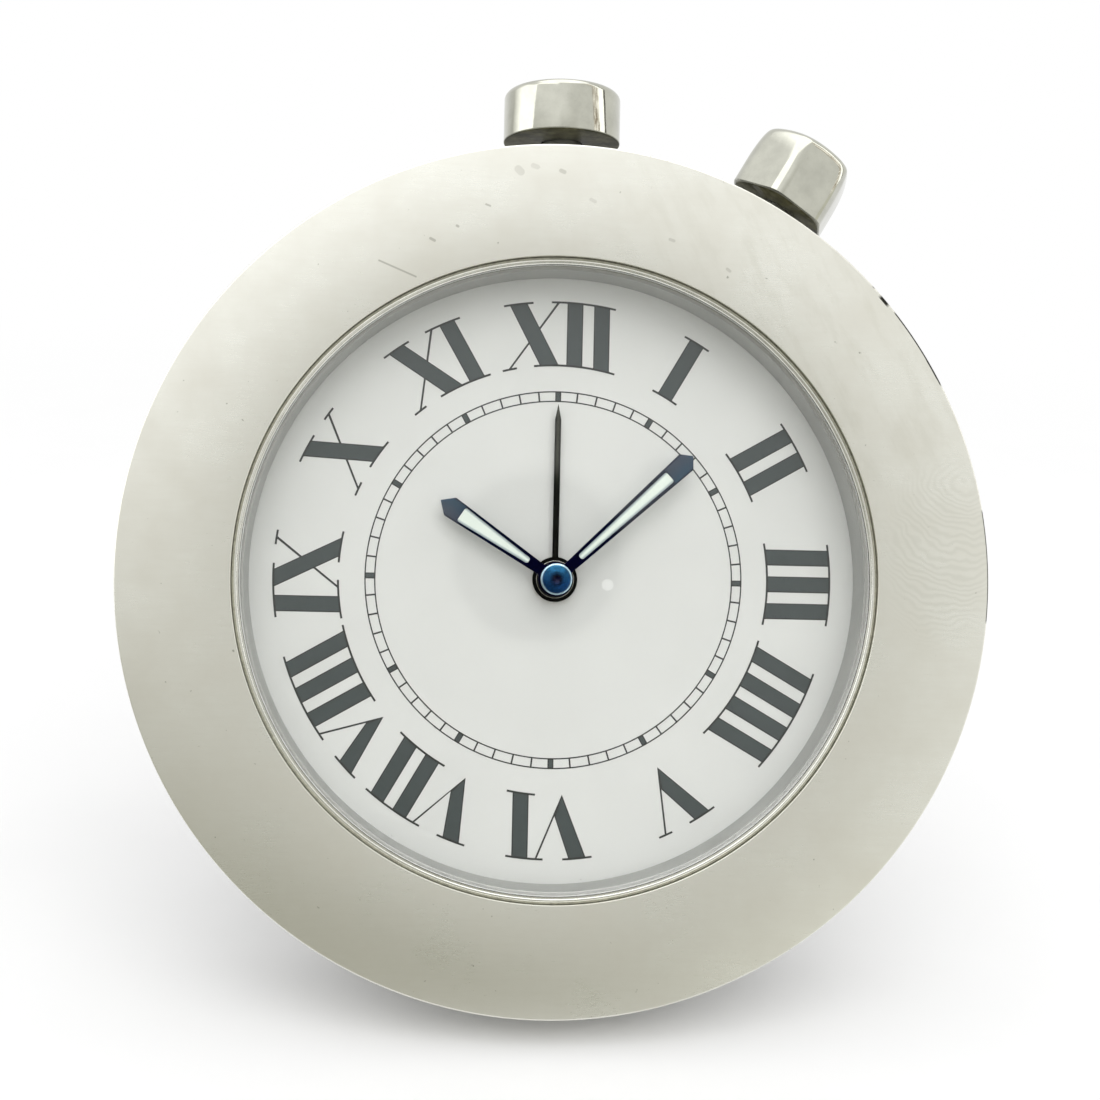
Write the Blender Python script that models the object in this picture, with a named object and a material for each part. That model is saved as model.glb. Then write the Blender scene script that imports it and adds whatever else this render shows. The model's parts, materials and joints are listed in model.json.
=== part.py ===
"""Round travel alarm clock with a quartz movement, leaning back on a fold-out leg.

Everything is modelled in a face frame: X to the right, Y towards 12 o'clock and Z towards the
reader, with Z zero on the bezel's front face. A depth is a distance behind that face. The face
frame is then leaned back and set down, so that the origin is under the middle of the clock.
"""

import math

import bmesh
import bpy
from mathutils import Vector

# Case and bezel
CASE_WALL = 0.0071
REAR_TAPER_DEPTH = 0.0060
BEZEL_THICKNESS = 0.0033
BEZEL_EDGE_ROUND = 0.00035
SEAM_CHAMFER = 0.0001
SPIGOT_WALL = 0.0012
SPIGOT_DEPTH = 0.0007
REAR_RIM_WIDTH = 0.0014
REAR_EDGE_ROUND = 0.0003
LEAN_DEGREES = 18.0

# Clearances
FIT_GAP = 0.00003
RUNNING_GAP = 0.00005
CUT_OVERRUN = 0.0005
MERGE_DISTANCE = 0.0000005

# Crystal and what seats it
RETAINER_WIDTH = 0.00022
RETAINER_FRONT_DEPTH = 0.00025
CRYSTAL_GASKET_WIDTH = 0.00024
GASKET_FRONT_DEPTH = 0.0006
CRYSTAL_FRONT_DEPTH = 0.00045
CRYSTAL_THICKNESS = 0.0012
CRYSTAL_CHAMFER = 0.0002
FLANGE_LIP = 0.0002

# Dial
DIAL_THICKNESS = 0.0004

# Cover, its screws and its gasket
COVER_THICKNESS = 0.00157
GASKET_GROOVE_WIDTH = 0.0010
GASKET_GROOVE_DEPTH = 0.0004
COVER_LEDGE = 0.0021
COVER_SCREWS = 4
COVER_SCREW_HEAD_RADIUS = 0.00085
COVER_SCREW_HEAD_HEIGHT = 0.00072
COVER_SCREW_SHANK_RADIUS = 0.00045
COVER_SCREW_SHANK_LENGTH = 0.0035
SCREW_SLOT_WIDTH = 0.00025
SCREW_SLOT_DEPTH = 0.0003
SCREW_HEAD_RECESS = 0.00005
SCREW_TIP_ROOM = 0.0003

# Stand leg
LEG_WIDTH = 0.0250
LEG_THICKNESS = 0.0018
LEG_SIDE_GAP = 0.00025
LEG_TIP_GAP = 0.0013
LEG_STOP_GAP = 0.00015
LEG_FLUSH_GAP = 0.0001
LEG_FLOOR_GAP = 0.00025
KNUCKLE_SWELL = 0.0002
HINGE_PIN_RADIUS = 0.0005
HINGE_PIN_ENTRY = 0.0006
RECESS_WALL = 0.0009
RECESS_FLOOR = 0.0008
RECESS_CORNER_ROOM = 0.000235
LIP_ALLOWANCE_SHARE = 4 / 3

# Battery and hatch
BATTERY_RADIUS = 0.0058
BATTERY_HEIGHT = 0.0054
BATTERY_EDGE = 0.0003
BATTERY_FLOOR = 0.0008
BATTERY_ROOM = 0.00015
CONTACT_THICKNESS = 0.00015
CONTACT_RADIUS = 0.0045
CONTACT_SPRING_HEIGHT = 0.0004
CUP_WALL = 0.0008
HATCH_RADIUS = 0.0064
HATCH_FLANGE = 0.00082
HATCH_LIP = 0.0005
HATCH_NECK_LENGTH = 0.0009
HATCH_INSET = 0.0024
HATCH_SLOT_WIDTH = 0.0011
HATCH_SLOT_LENGTH = 0.0080
HATCH_SLOT_DEPTH = 0.0005
HATCH_GASKET_THICKNESS = 0.00017
HATCH_WEB = 0.00095

# Push button at 12 o'clock
BUTTON_RADIUS = 0.00452
BUTTON_HEIGHT = 0.0039
BUTTON_BOTTOM_ROOM = 0.0004
BUTTON_EDGE_ROUND = 0.0005
BUTTON_SEAT_GAP = 0.0002
BUTTON_TRAVEL = 0.0015
BUTTON_CAP_FLOOR = 0.0011
BUTTON_STEM_RADIUS = 0.0005
BUTTON_STEM_ENTRY = 0.0006
TUBE_RADIUS = 0.0015
TUBE_BORE_RADIUS = 0.0012
TUBE_FLOOR = 0.0004
TUBE_INSET = 0.0007
BUTTON_CLIP_RADIUS = 0.0011
BUTTON_CLIP_THICKNESS = 0.00025
BUTTON_CLIP_GAP = 0.00015
BUTTON_STEM_TAIL = 0.0003
SPRING_WIRE_RADIUS = 0.00011
SPRING_COIL_RADIUS = 0.00085
SPRING_TURNS = 7
SPRING_POINTS_PER_TURN = 8
SWITCH_BLADE_THICKNESS = 0.00015
SWITCH_BLADE_WIDTH = 0.0056
SWITCH_BLADE_HEIGHT = 0.0012
SWITCH_BLADE_GAP = 0.0004

# Crown at 1 o'clock
CROWN_ANGLE_DEGREES = 30.0
CROWN_CORNER_RADIUS = 0.00415
CROWN_CORNER_ROUND = 0.00045
CROWN_CORNER_TURN_DEGREES = 17.0
CROWN_SIDES = 6
CROWN_RISE = 0.0019
CROWN_HEIGHT = 0.0057
CROWN_SHOULDER_DROP = 0.0012
CROWN_BASE_CHAMFER = 0.0006
CROWN_COUNTERBORE_DEPTH = 0.0024
CROWN_PULL = 0.0018
CROWN_TUBE_RADIUS = 0.0016
CROWN_TUBE_OVERLAP = 0.0007
CROWN_STEM_RADIUS = 0.0006
CROWN_STEM_ENTRY = 0.0014
CROWN_STEM_END_GAP = 0.0005
CROWN_STEM_ROOM = 0.00015
CROWN_STEM_DROP = 0.00038
CROWN_GASKET_HEIGHT = 0.0006
SLIDING_PINION_RADIUS = 0.0011
SLIDING_PINION_LENGTH = 0.0020
SLIDING_PINION_TEETH = 10
YOKE_OFFSET = 0.0009
YOKE_THICKNESS = 0.0005
YOKE_WIDTH = 0.0030
YOKE_HEIGHT = 0.0020
YOKE_POCKET_ROOM = 0.0003

# Movement body, from the dial rearwards
MOTION_WELL_ROOM = 0.0009
MOTION_WELL_WALL = 0.00115
MAIN_PLATE_THICKNESS = 0.0005
MOTOR_SPACE = 0.00135
BRIDGE_THICKNESS = 0.00035
BOARD_THICKNESS = 0.0003
BUZZER_THICKNESS = 0.00022
BUZZER_RADIUS = 0.0090
BRIDGE_HALF_WIDTH = 0.0130
BRIDGE_DROP = 0.0135
BRIDGE_TOP_ROOM = 0.0014
BRIDGE_CORNER = 0.0020
PILLAR_RADIUS = 0.0010
BOARD_INSET = 0.0026
MOVEMENT_SCREW_HEAD_RADIUS = 0.0007
MOVEMENT_SCREW_HEAD_HEIGHT = 0.0003
MOVEMENT_SCREW_SHANK_RADIUS = 0.0004
MOVEMENT_SCREW_SHANK_LENGTH = 0.0020
PLATE_SCREW_INSET = 0.0039
PLATE_SCREW_ANGLE_DEGREES = 210.0
BRIDGE_SCREW_TURN_DEGREES = 57.0
SPACER_WALL = 0.0008
COIL_RADIUS = 0.00058
COIL_CORE_RADIUS = 0.0003
COIL_FLANGE_THICKNESS = 0.0004
COIL_OVERHANG = 0.0002
COIL_DROP = 0.0105
STATOR_HALF_WIDTH = 0.0068
STATOR_DROP = 0.0097
STATOR_RISE = 0.0028
STATOR_THICKNESS = 0.0005
MOTOR_HALF_WIDTH = 0.0032
MOTOR_RISE = 0.0030
LAYER_GAP = 0.0001

# Motion work: wheels under the dial
MOTION_MODULE = 0.00018125
HOUR_MODULE = 0.000145
CANNON_TEETH = 8
MINUTE_WHEEL_TEETH = 24
MINUTE_PINION_TEETH = 8
HOUR_WHEEL_TEETH = 32
SETTING_WHEEL_TEETH = 16
ALARM_WHEEL_TEETH = 24
CENTRE_WHEEL_TEETH = 24
CENTRE_WHEEL_RADIUS = 0.0025
ALARM_WHEEL_RADIUS = 0.0031
WHEEL_THICKNESS = 0.00035
HOUR_WHEEL_ROOM = 0.0002
MINUTE_WHEEL_ROOM = 0.00022
POST_RADIUS = 0.00025
ALARM_BLADE_THICKNESS = 0.00012
ALARM_BLADE_LENGTH = 0.0075
ALARM_BLADE_WIDTH = 0.0008
ALARM_BLADE_DROP = 0.0036

# Arbors and hands
ARBOR_RADIUS = 0.00045
TUBE_WALL = 0.00030
ALARM_TUBE_WALL = 0.00052
ARBOR_PROUD = 0.00025
HAND_THICKNESS = 0.00022
ALARM_HAND_THICKNESS = 0.00015
HAND_PITCH = 0.0007
ALARM_HAND_ROOM = 0.0006
HUB_WALL = 0.0003
HAND_CAP_RADIUS = 0.00117
HAND_CAP_HEIGHT = 0.00075
HAND_CAP_ROOM = 0.00057
HAND_CAP_RIM = 0.00008
HAND_CAP_DOME = 0.00020
HAND_CAP_DIMPLE_RADIUS = 0.00030
HAND_CAP_DIMPLE_DEPTH = 0.0001
MINUTE_HAND_LENGTH = 0.0139
MINUTE_HAND_POINT = 0.0007
MINUTE_HAND_WIDTH = 0.00150
MINUTE_HAND_HUB_WIDTH = 0.00062
HOUR_HAND_LENGTH = 0.01046
HOUR_HAND_POINT = 0.00086
HOUR_HAND_WIDTH = 0.00155
HOUR_HAND_HUB_WIDTH = 0.00072
HAND_BORDER = 0.00016
LUME_START = 0.0024
MINUTE_LUME_TIP_ROOM = 0.00235
HOUR_LUME_TIP_ROOM = 0.00190
LUME_RECESS = 0.00004
ALARM_HAND_LENGTH = 0.0133
ALARM_HAND_WIDTH = 0.00045
ALARM_HAND_POINT = 0.0012
MINUTE_ANGLE_DEGREES = 46.9
HOUR_ANGLE_DEGREES = 303.4

# Tooth proportions: lengths in modules, half widths as shares of the tooth pitch
ADDENDUM_SHARE = 0.70
DEDENDUM_SHARE = 0.95
TOOTH_TIP_SHARE = 0.09
TOOTH_ROOT_SHARE = 0.19

# Facet counts
RIM_FACETS = 48
MIDDLE_FACETS = 28
SMALL_FACETS = 16
TINY_FACETS = 10
ROUND_STEPS = 2
SMOOTH_DEGREES = 35.0

# Depths that follow, from the crystal rearwards
CRYSTAL_BACK_DEPTH = CRYSTAL_FRONT_DEPTH + CRYSTAL_THICKNESS
MINUTE_HAND_DEPTH = CRYSTAL_BACK_DEPTH + HAND_CAP_ROOM + HAND_CAP_HEIGHT + FIT_GAP
ARBOR_FRONT_DEPTH = MINUTE_HAND_DEPTH - ARBOR_PROUD
HOUR_HAND_DEPTH = MINUTE_HAND_DEPTH + HAND_PITCH
ALARM_HAND_DEPTH = HOUR_HAND_DEPTH + HAND_PITCH
DIAL_DEPTH = ALARM_HAND_DEPTH + ALARM_HAND_ROOM
DIAL_BACK_DEPTH = DIAL_DEPTH + DIAL_THICKNESS
ALARM_WHEEL_DEPTH = DIAL_BACK_DEPTH + LAYER_GAP
ALARM_BLADE_DEPTH = ALARM_WHEEL_DEPTH + WHEEL_THICKNESS + LAYER_GAP
HOUR_WHEEL_DEPTH = ALARM_WHEEL_DEPTH + WHEEL_THICKNESS + HOUR_WHEEL_ROOM
MINUTE_WHEEL_DEPTH = HOUR_WHEEL_DEPTH + WHEEL_THICKNESS + MINUTE_WHEEL_ROOM
CONTROL_DEPTH = MINUTE_WHEEL_DEPTH + CROWN_STEM_DROP
MAIN_PLATE_DEPTH = CONTROL_DEPTH + CROWN_STEM_RADIUS + CROWN_STEM_ROOM
MAIN_PLATE_BACK_DEPTH = MAIN_PLATE_DEPTH + MAIN_PLATE_THICKNESS
BRIDGE_DEPTH = MAIN_PLATE_BACK_DEPTH + MOTOR_SPACE
BRIDGE_BACK_DEPTH = BRIDGE_DEPTH + BRIDGE_THICKNESS
BOARD_BACK_DEPTH = BRIDGE_BACK_DEPTH + FIT_GAP + BOARD_THICKNESS
BATTERY_FRONT_DEPTH = DIAL_BACK_DEPTH + BATTERY_FLOOR
BATTERY_BACK_DEPTH = BATTERY_FRONT_DEPTH + BATTERY_HEIGHT

# The case is as deep as the battery under its hatch, or as the movement under the leg, whichever is more.
KNUCKLE_RADIUS = LEG_THICKNESS / 2 + KNUCKLE_SWELL
HATCH_DEPTH = HATCH_NECK_LENGTH + HATCH_FLANGE + HATCH_GASKET_THICKNESS + 2 * FIT_GAP + SCREW_HEAD_RECESS
RECESS_STACK = RECESS_FLOOR + LEG_FLOOR_GAP + 2 * KNUCKLE_RADIUS + LEG_FLUSH_GAP
CASE_DEPTH = max(
    BATTERY_BACK_DEPTH + CONTACT_SPRING_HEIGHT + HATCH_DEPTH,
    BOARD_BACK_DEPTH + LAYER_GAP + BUZZER_THICKNESS + FIT_GAP + RECESS_STACK,
)
WAIST_DEPTH = CASE_DEPTH - REAR_TAPER_DEPTH
COVER_DEPTH = CASE_DEPTH - COVER_THICKNESS
COVER_SEAT_DEPTH = COVER_DEPTH - FIT_GAP
HINGE_DEPTH = CASE_DEPTH - KNUCKLE_RADIUS - LEG_FLUSH_GAP
RECESS_DEPTH = HINGE_DEPTH - KNUCKLE_RADIUS - LEG_FLOOR_GAP
RECESS_BACK_DEPTH = RECESS_DEPTH - RECESS_FLOOR

# Radii that follow, from the centre outwards past the wheels, the battery and its hatch
LEAN = math.radians(LEAN_DEGREES)
CROWN_ANGLE = math.radians(CROWN_ANGLE_DEGREES)
GEAR_LINE_ANGLE = math.radians(90) - CROWN_ANGLE
MINUTE_WHEEL_DISTANCE = (CANNON_TEETH + MINUTE_WHEEL_TEETH) * MOTION_MODULE / 2
SETTING_WHEEL_DISTANCE = (
    MINUTE_WHEEL_DISTANCE + (MINUTE_WHEEL_TEETH + SETTING_WHEEL_TEETH) * MOTION_MODULE / 2
)
SETTING_WHEEL_REACH = SETTING_WHEEL_DISTANCE + (SETTING_WHEEL_TEETH / 2 + ADDENDUM_SHARE) * MOTION_MODULE
CROWN_STEM_END = SETTING_WHEEL_REACH + CROWN_STEM_END_GAP
MOTION_WELL_RADIUS = SETTING_WHEEL_REACH + MOTION_WELL_ROOM
BATTERY_WELL_RADIUS = BATTERY_RADIUS + BATTERY_ROOM
BATTERY_HEIGHT_ABOVE_CENTRE = MOTION_WELL_RADIUS + MOTION_WELL_WALL + BATTERY_WELL_RADIUS
HATCH_HOLE_RADIUS = HATCH_RADIUS + RUNNING_GAP
HATCH_NECK_RADIUS = HATCH_RADIUS - HATCH_LIP
BORE_RADIUS = BATTERY_HEIGHT_ABOVE_CENTRE + HATCH_RADIUS + HATCH_INSET
INSIDE_RADIUS = BORE_RADIUS - RUNNING_GAP
OPENING_RADIUS = BORE_RADIUS - SPIGOT_WALL
CASE_RADIUS = BORE_RADIUS + CASE_WALL
GROOVE_RADIUS = BORE_RADIUS + GASKET_GROOVE_WIDTH
COVER_SEAT_RADIUS = GROOVE_RADIUS + COVER_LEDGE
REAR_RADIUS = COVER_SEAT_RADIUS + REAR_RIM_WIDTH

GASKET_OUTER_RADIUS = OPENING_RADIUS - FIT_GAP
GASKET_INNER_RADIUS = GASKET_OUTER_RADIUS - CRYSTAL_GASKET_WIDTH
RETAINER_OUTER_RADIUS = GASKET_INNER_RADIUS - FIT_GAP
RETAINER_INNER_RADIUS = RETAINER_OUTER_RADIUS - RETAINER_WIDTH
CRYSTAL_RADIUS = RETAINER_INNER_RADIUS - FIT_GAP
FLANGE_INNER_RADIUS = CRYSTAL_RADIUS - FLANGE_LIP

HOUR_TUBE_BORE = ARBOR_RADIUS + RUNNING_GAP
HOUR_TUBE_RADIUS = HOUR_TUBE_BORE + TUBE_WALL
ALARM_TUBE_BORE = HOUR_TUBE_RADIUS + RUNNING_GAP
ALARM_TUBE_RADIUS = ALARM_TUBE_BORE + ALARM_TUBE_WALL
BRIDGE_TOP = BATTERY_HEIGHT_ABOVE_CENTRE - BATTERY_WELL_RADIUS - BRIDGE_TOP_ROOM

# Button and crown stand off the case by more than they travel.
TUBE_INNER_END = BORE_RADIUS + TUBE_INSET
BUTTON_BASE = CASE_RADIUS + BUTTON_TRAVEL + BUTTON_BOTTOM_ROOM
BUTTON_TOP = BUTTON_BASE + BUTTON_HEIGHT
CROWN_BASE = CASE_RADIUS + CROWN_RISE
CROWN_TOP = CROWN_BASE + CROWN_HEIGHT

# The leg's recess fills the cover from the hatch down to the spacer's inner wall.
RECESS_HALF_WIDTH = LEG_WIDTH / 2 + LEG_SIDE_GAP
RECESS_OUTER_HALF_WIDTH = RECESS_HALF_WIDTH + RECESS_WALL
RECESS_TOP = BATTERY_HEIGHT_ABOVE_CENTRE - HATCH_HOLE_RADIUS - HATCH_WEB
RECESS_OUTER_TOP = RECESS_TOP + RECESS_WALL
RECESS_CORNER_RADIUS = INSIDE_RADIUS - SPACER_WALL - RECESS_CORNER_ROOM
HINGE_DROP = (
    math.sqrt(RECESS_CORNER_RADIUS**2 - RECESS_OUTER_HALF_WIDTH**2)
    - RECESS_WALL
    - LEG_STOP_GAP
    - LIP_ALLOWANCE_SHARE * KNUCKLE_RADIUS
)

# The slant is the open leg's angle from the vertical, with its foot level with the case's lowest point.
LEG_REACH = RECESS_TOP - LEG_TIP_GAP + HINGE_DROP
LEG_INNER_FACE = LEG_THICKNESS - KNUCKLE_RADIUS
HINGE_HEIGHT = (CASE_RADIUS - HINGE_DROP) * math.cos(LEAN) - (HINGE_DEPTH - WAIST_DEPTH) * math.sin(LEAN)
LEG_DIAGONAL = math.hypot(LEG_REACH, LEG_INNER_FACE)
LEG_SLANT = math.acos(HINGE_HEIGHT / LEG_DIAGONAL) - math.atan2(LEG_INNER_FACE, LEG_REACH)
LEG_OPENING = math.radians(180) - LEG_SLANT - LEAN

# The recess's lower lip stops the open leg's outer face at the cover's rear face.
LIP_REACH = (CASE_DEPTH - HINGE_DEPTH - KNUCKLE_RADIUS * math.cos(LEG_OPENING)) / math.sin(LEG_OPENING)
LIP_DROP = KNUCKLE_RADIUS * math.sin(LEG_OPENING) - LIP_REACH * math.cos(LEG_OPENING)
RECESS_BOTTOM = -HINGE_DROP - LIP_DROP - LEG_STOP_GAP
RECESS_OUTER_BOTTOM = RECESS_BOTTOM - RECESS_WALL

COLOURS = {
    "bezel_steel": ((0.62, 0.61, 0.56), 0.32, 1.0),
    "polished_steel": ((0.70, 0.70, 0.68), 0.12, 1.0),
    "brushed_steel": ((0.56, 0.56, 0.55), 0.35, 1.0),
    "dial_white": ((0.74, 0.74, 0.72), 0.55, 0.0),
    "flange_grey": ((0.45, 0.46, 0.44), 0.45, 0.3),
    "blued_steel": ((0.03, 0.06, 0.14), 0.22, 0.9),
    "cap_blue": ((0.02, 0.09, 0.30), 0.10, 0.8),
    "lume": ((0.80, 0.88, 0.76), 0.70, 0.0),
    "alarm_black": ((0.02, 0.02, 0.018), 0.35, 0.4),
    "glass_clear": ((0.92, 0.94, 0.94), 0.02, 0.0),
    "seal_black": ((0.03, 0.03, 0.03), 0.60, 0.0),
    "holder_plastic": ((0.80, 0.79, 0.74), 0.50, 0.0),
    "brass": ((0.72, 0.55, 0.25), 0.25, 1.0),
    "nickel": ((0.60, 0.58, 0.55), 0.25, 1.0),
    "copper_wire": ((0.60, 0.25, 0.10), 0.35, 1.0),
    "board_green": ((0.02, 0.18, 0.08), 0.45, 0.0),
    "cell_steel": ((0.66, 0.66, 0.66), 0.22, 1.0),
}


def clear_scene():
    for old in list(bpy.data.objects):
        bpy.data.objects.remove(old, do_unlink=True)


def make_finish(name):
    colour, roughness, metallic = COLOURS[name]
    finish = bpy.data.materials.new(name)
    finish.use_nodes = True
    shader = finish.node_tree.nodes["Principled BSDF"]
    shader.inputs["Base Color"].default_value = (*colour, 1.0)
    shader.inputs["Roughness"].default_value = roughness
    shader.inputs["Metallic"].default_value = metallic
    finish.diffuse_color = (*colour, 1.0)
    return finish


def add_empty(name, parent=None, location=(0, 0, 0), rotation=(0, 0, 0)):
    empty = bpy.data.objects.new(name, None)
    bpy.context.scene.collection.objects.link(empty)
    empty.empty_display_size = CASE_RADIUS / 4
    empty.parent = parent
    empty.location = location
    empty.rotation_euler = rotation
    return empty


def add_part(name, shape, finish, parent, location=(0, 0, 0), rotation=(0, 0, 0)):
    """One object from a finished bmesh, which is freed."""
    mesh = bpy.data.meshes.new(name)
    shape.to_mesh(mesh)
    shape.free()
    mesh.shade_smooth()
    mesh.set_sharp_from_angle(angle=math.radians(SMOOTH_DEGREES))
    part = bpy.data.objects.new(name, mesh)
    if finish:
        mesh.materials.append(FINISHES[finish])
    bpy.context.scene.collection.objects.link(part)
    part.parent = parent
    part.location = location
    part.rotation_euler = rotation
    return part


def add_tool(name, shape, parent, location=(0, 0, 0), rotation=(0, 0, 0)):
    """A helper shape that only cuts or joins other pieces."""
    tool = add_part(name, shape, None, parent, location, rotation)
    tool.hide_render = True
    tool.display_type = "WIRE"
    return tool


def combine(part, tool, operation):
    modifier = part.modifiers.new(tool.name, "BOOLEAN")
    modifier.object = tool
    modifier.operation = operation
    modifier.solver = "EXACT"


def turned(outline, facets):
    """(radius, height) points turned about Z. An outline that starts on the axis also ends there."""
    shape = bmesh.new()
    corners = [shape.verts.new((radius, 0, height)) for radius, height in outline]
    pairs = list(zip(corners, corners[1:]))
    if outline[0][0] > 0:
        pairs.append((corners[-1], corners[0]))
    edges = [shape.edges.new(pair) for pair in pairs]
    bmesh.ops.spin(
        shape,
        geom=corners + edges,
        cent=(0, 0, 0),
        axis=(0, 0, 1),
        angle=math.radians(360),
        steps=facets,
        use_merge=True,
    )
    bmesh.ops.remove_doubles(shape, verts=shape.verts[:], dist=MERGE_DISTANCE)
    bmesh.ops.recalc_face_normals(shape, faces=shape.faces[:])
    return shape


def at_depths(outline):
    """(radius, depth) points as the (radius, height) points of the face frame."""
    return [(radius, -depth) for radius, depth in outline]


def ring(inner, outer, front, back):
    """The outline of a plain ring between two depths."""
    return at_depths([(outer, front), (outer, back), (inner, back), (inner, front)])


def rod(radius, low, high):
    """The outline of a plain cylinder between two heights."""
    return [(0, low), (radius, low), (radius, high), (0, high)]


def sleeve(inner, outer, low, high):
    """The outline of a plain tube between two heights."""
    return [(outer, high), (outer, low), (inner, low), (inner, high)]


def prism(points, low, high, along="z"):
    """A flat outline extruded along z, or along x where its points are (y, z) pairs."""
    shape = bmesh.new()
    corners = []
    for first, second in points:
        place = (first, second, low) if along == "z" else (low, first, second)
        corners.append(shape.verts.new(place))
    base = shape.faces.new(corners)
    lifted = bmesh.ops.extrude_face_region(shape, geom=[base])["geom"]
    step = high - low
    bmesh.ops.translate(
        shape,
        verts=[item for item in lifted if isinstance(item, bmesh.types.BMVert)],
        vec=(0, 0, step) if along == "z" else (step, 0, 0),
    )
    bmesh.ops.recalc_face_normals(shape, faces=shape.faces[:])
    return shape


def plate(points, front, back):
    """A flat outline extruded between two depths of the face frame."""
    return prism(points, -back, -front)


def arc(centre, radius, start, end, steps):
    """Points on an arc, both ends included, with its angles in radians."""
    points = []
    for step in range(steps + 1):
        angle = start + (end - start) * step / steps
        points.append((centre[0] + radius * math.cos(angle), centre[1] + radius * math.sin(angle)))
    return points


def rectangle(left, right, bottom, top):
    return [(left, bottom), (right, bottom), (right, top), (left, top)]


def rounded_rectangle(left, right, bottom, top, radius):
    quarter = math.radians(90)
    centres = rectangle(left + radius, right - radius, bottom + radius, top - radius)
    points = []
    for corner, centre in enumerate(centres):
        start = math.radians(180) + corner * quarter
        points += arc(centre, radius, start, start + quarter, ROUND_STEPS)
    return points


def rounded_polygon(sides, corner_radius, round_radius, turn):
    """A regular polygon whose corners are rounded arcs that start inside the corner radius."""
    half = math.radians(180) / sides
    inset = corner_radius - round_radius
    points = []
    for side in range(sides):
        angle = turn + 2 * half * side
        centre = (inset * math.cos(angle), inset * math.sin(angle))
        points += arc(centre, round_radius, angle - half, angle + half, ROUND_STEPS)
    return points


def gear_outline(teeth, pitch_radius, turn):
    """Straight-sided teeth, one of them centred on the angle called turn."""
    module = 2 * pitch_radius / teeth
    tip = pitch_radius + ADDENDUM_SHARE * module
    root = pitch_radius - DEDENDUM_SHARE * module
    pitch = math.radians(360) / teeth
    flank = (
        (root, -TOOTH_ROOT_SHARE),
        (tip, -TOOTH_TIP_SHARE),
        (tip, TOOTH_TIP_SHARE),
        (root, TOOTH_ROOT_SHARE),
    )
    points = []
    for tooth in range(teeth):
        for radius, share in flank:
            angle = turn + (tooth + share) * pitch
            points.append((radius * math.cos(angle), radius * math.sin(angle)))
    return points


def polar(distance, angle, depth=0.0):
    return (distance * math.cos(angle), distance * math.sin(angle), -depth)


def make_case(face):
    front = BEZEL_THICKNESS
    spigot_back = front + SPIGOT_DEPTH
    spigot_radius = BORE_RADIUS - FIT_GAP
    corner = (CASE_RADIUS - BEZEL_EDGE_ROUND, BEZEL_EDGE_ROUND)
    rim = arc(corner, BEZEL_EDGE_ROUND, math.radians(-90), 0, ROUND_STEPS)
    bezel_outline = [(OPENING_RADIUS + SEAM_CHAMFER, 0.0)] + rim
    bezel_outline += [
        (CASE_RADIUS, front - SEAM_CHAMFER),
        (CASE_RADIUS - SEAM_CHAMFER, front),
        (spigot_radius, front),
        (spigot_radius, spigot_back),
        (OPENING_RADIUS, spigot_back),
        (OPENING_RADIUS, SEAM_CHAMFER),
    ]
    add_part("bezel", turned(at_depths(bezel_outline), RIM_FACETS), "bezel_steel", face)

    start = front + FIT_GAP
    corner = (REAR_RADIUS - REAR_EDGE_ROUND, CASE_DEPTH - REAR_EDGE_ROUND)
    case_outline = [
        (BORE_RADIUS, start),
        (CASE_RADIUS - SEAM_CHAMFER, start),
        (CASE_RADIUS, start + SEAM_CHAMFER),
        (CASE_RADIUS, WAIST_DEPTH),
    ]
    case_outline += arc(corner, REAR_EDGE_ROUND, 0, math.radians(90), ROUND_STEPS)
    case_outline += [
        (COVER_SEAT_RADIUS, CASE_DEPTH),
        (COVER_SEAT_RADIUS, COVER_SEAT_DEPTH),
        (GROOVE_RADIUS, COVER_SEAT_DEPTH),
        (GROOVE_RADIUS, COVER_SEAT_DEPTH - GASKET_GROOVE_DEPTH),
        (BORE_RADIUS, COVER_SEAT_DEPTH - GASKET_GROOVE_DEPTH),
    ]
    case = add_part("case_middle", turned(at_depths(case_outline), RIM_FACETS), "brushed_steel", face)

    for axis, radius in ((button_axis, TUBE_RADIUS), (crown_axis, CROWN_TUBE_RADIUS)):
        hole = rod(radius + FIT_GAP, BORE_RADIUS - CUT_OVERRUN, CASE_RADIUS + CUT_OVERRUN)
        tool = add_tool(f"{axis.name}_case_hole", turned(hole, SMALL_FACETS), axis)
        combine(case, tool, "DIFFERENCE")

    screw_depth = screw_floor_depth() - COVER_SCREW_SHANK_LENGTH - SCREW_TIP_ROOM
    for number in range(COVER_SCREWS):
        hole = rod(COVER_SCREW_SHANK_RADIUS + FIT_GAP, -CASE_DEPTH, -screw_depth)
        place = polar(screw_circle(), screw_angle(number))
        tool = add_tool(f"cover_screw_hole_{number + 1}", turned(hole, TINY_FACETS), face, place)
        combine(case, tool, "DIFFERENCE")


def screw_angle(number):
    return math.radians(360) * (number + 0.5) / COVER_SCREWS


def screw_circle():
    return (GROOVE_RADIUS + COVER_SEAT_RADIUS) / 2


def screw_floor_depth():
    """The depth of the underside of the cover screws' heads."""
    return CASE_DEPTH - SCREW_HEAD_RECESS - COVER_SCREW_HEAD_HEIGHT


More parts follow.
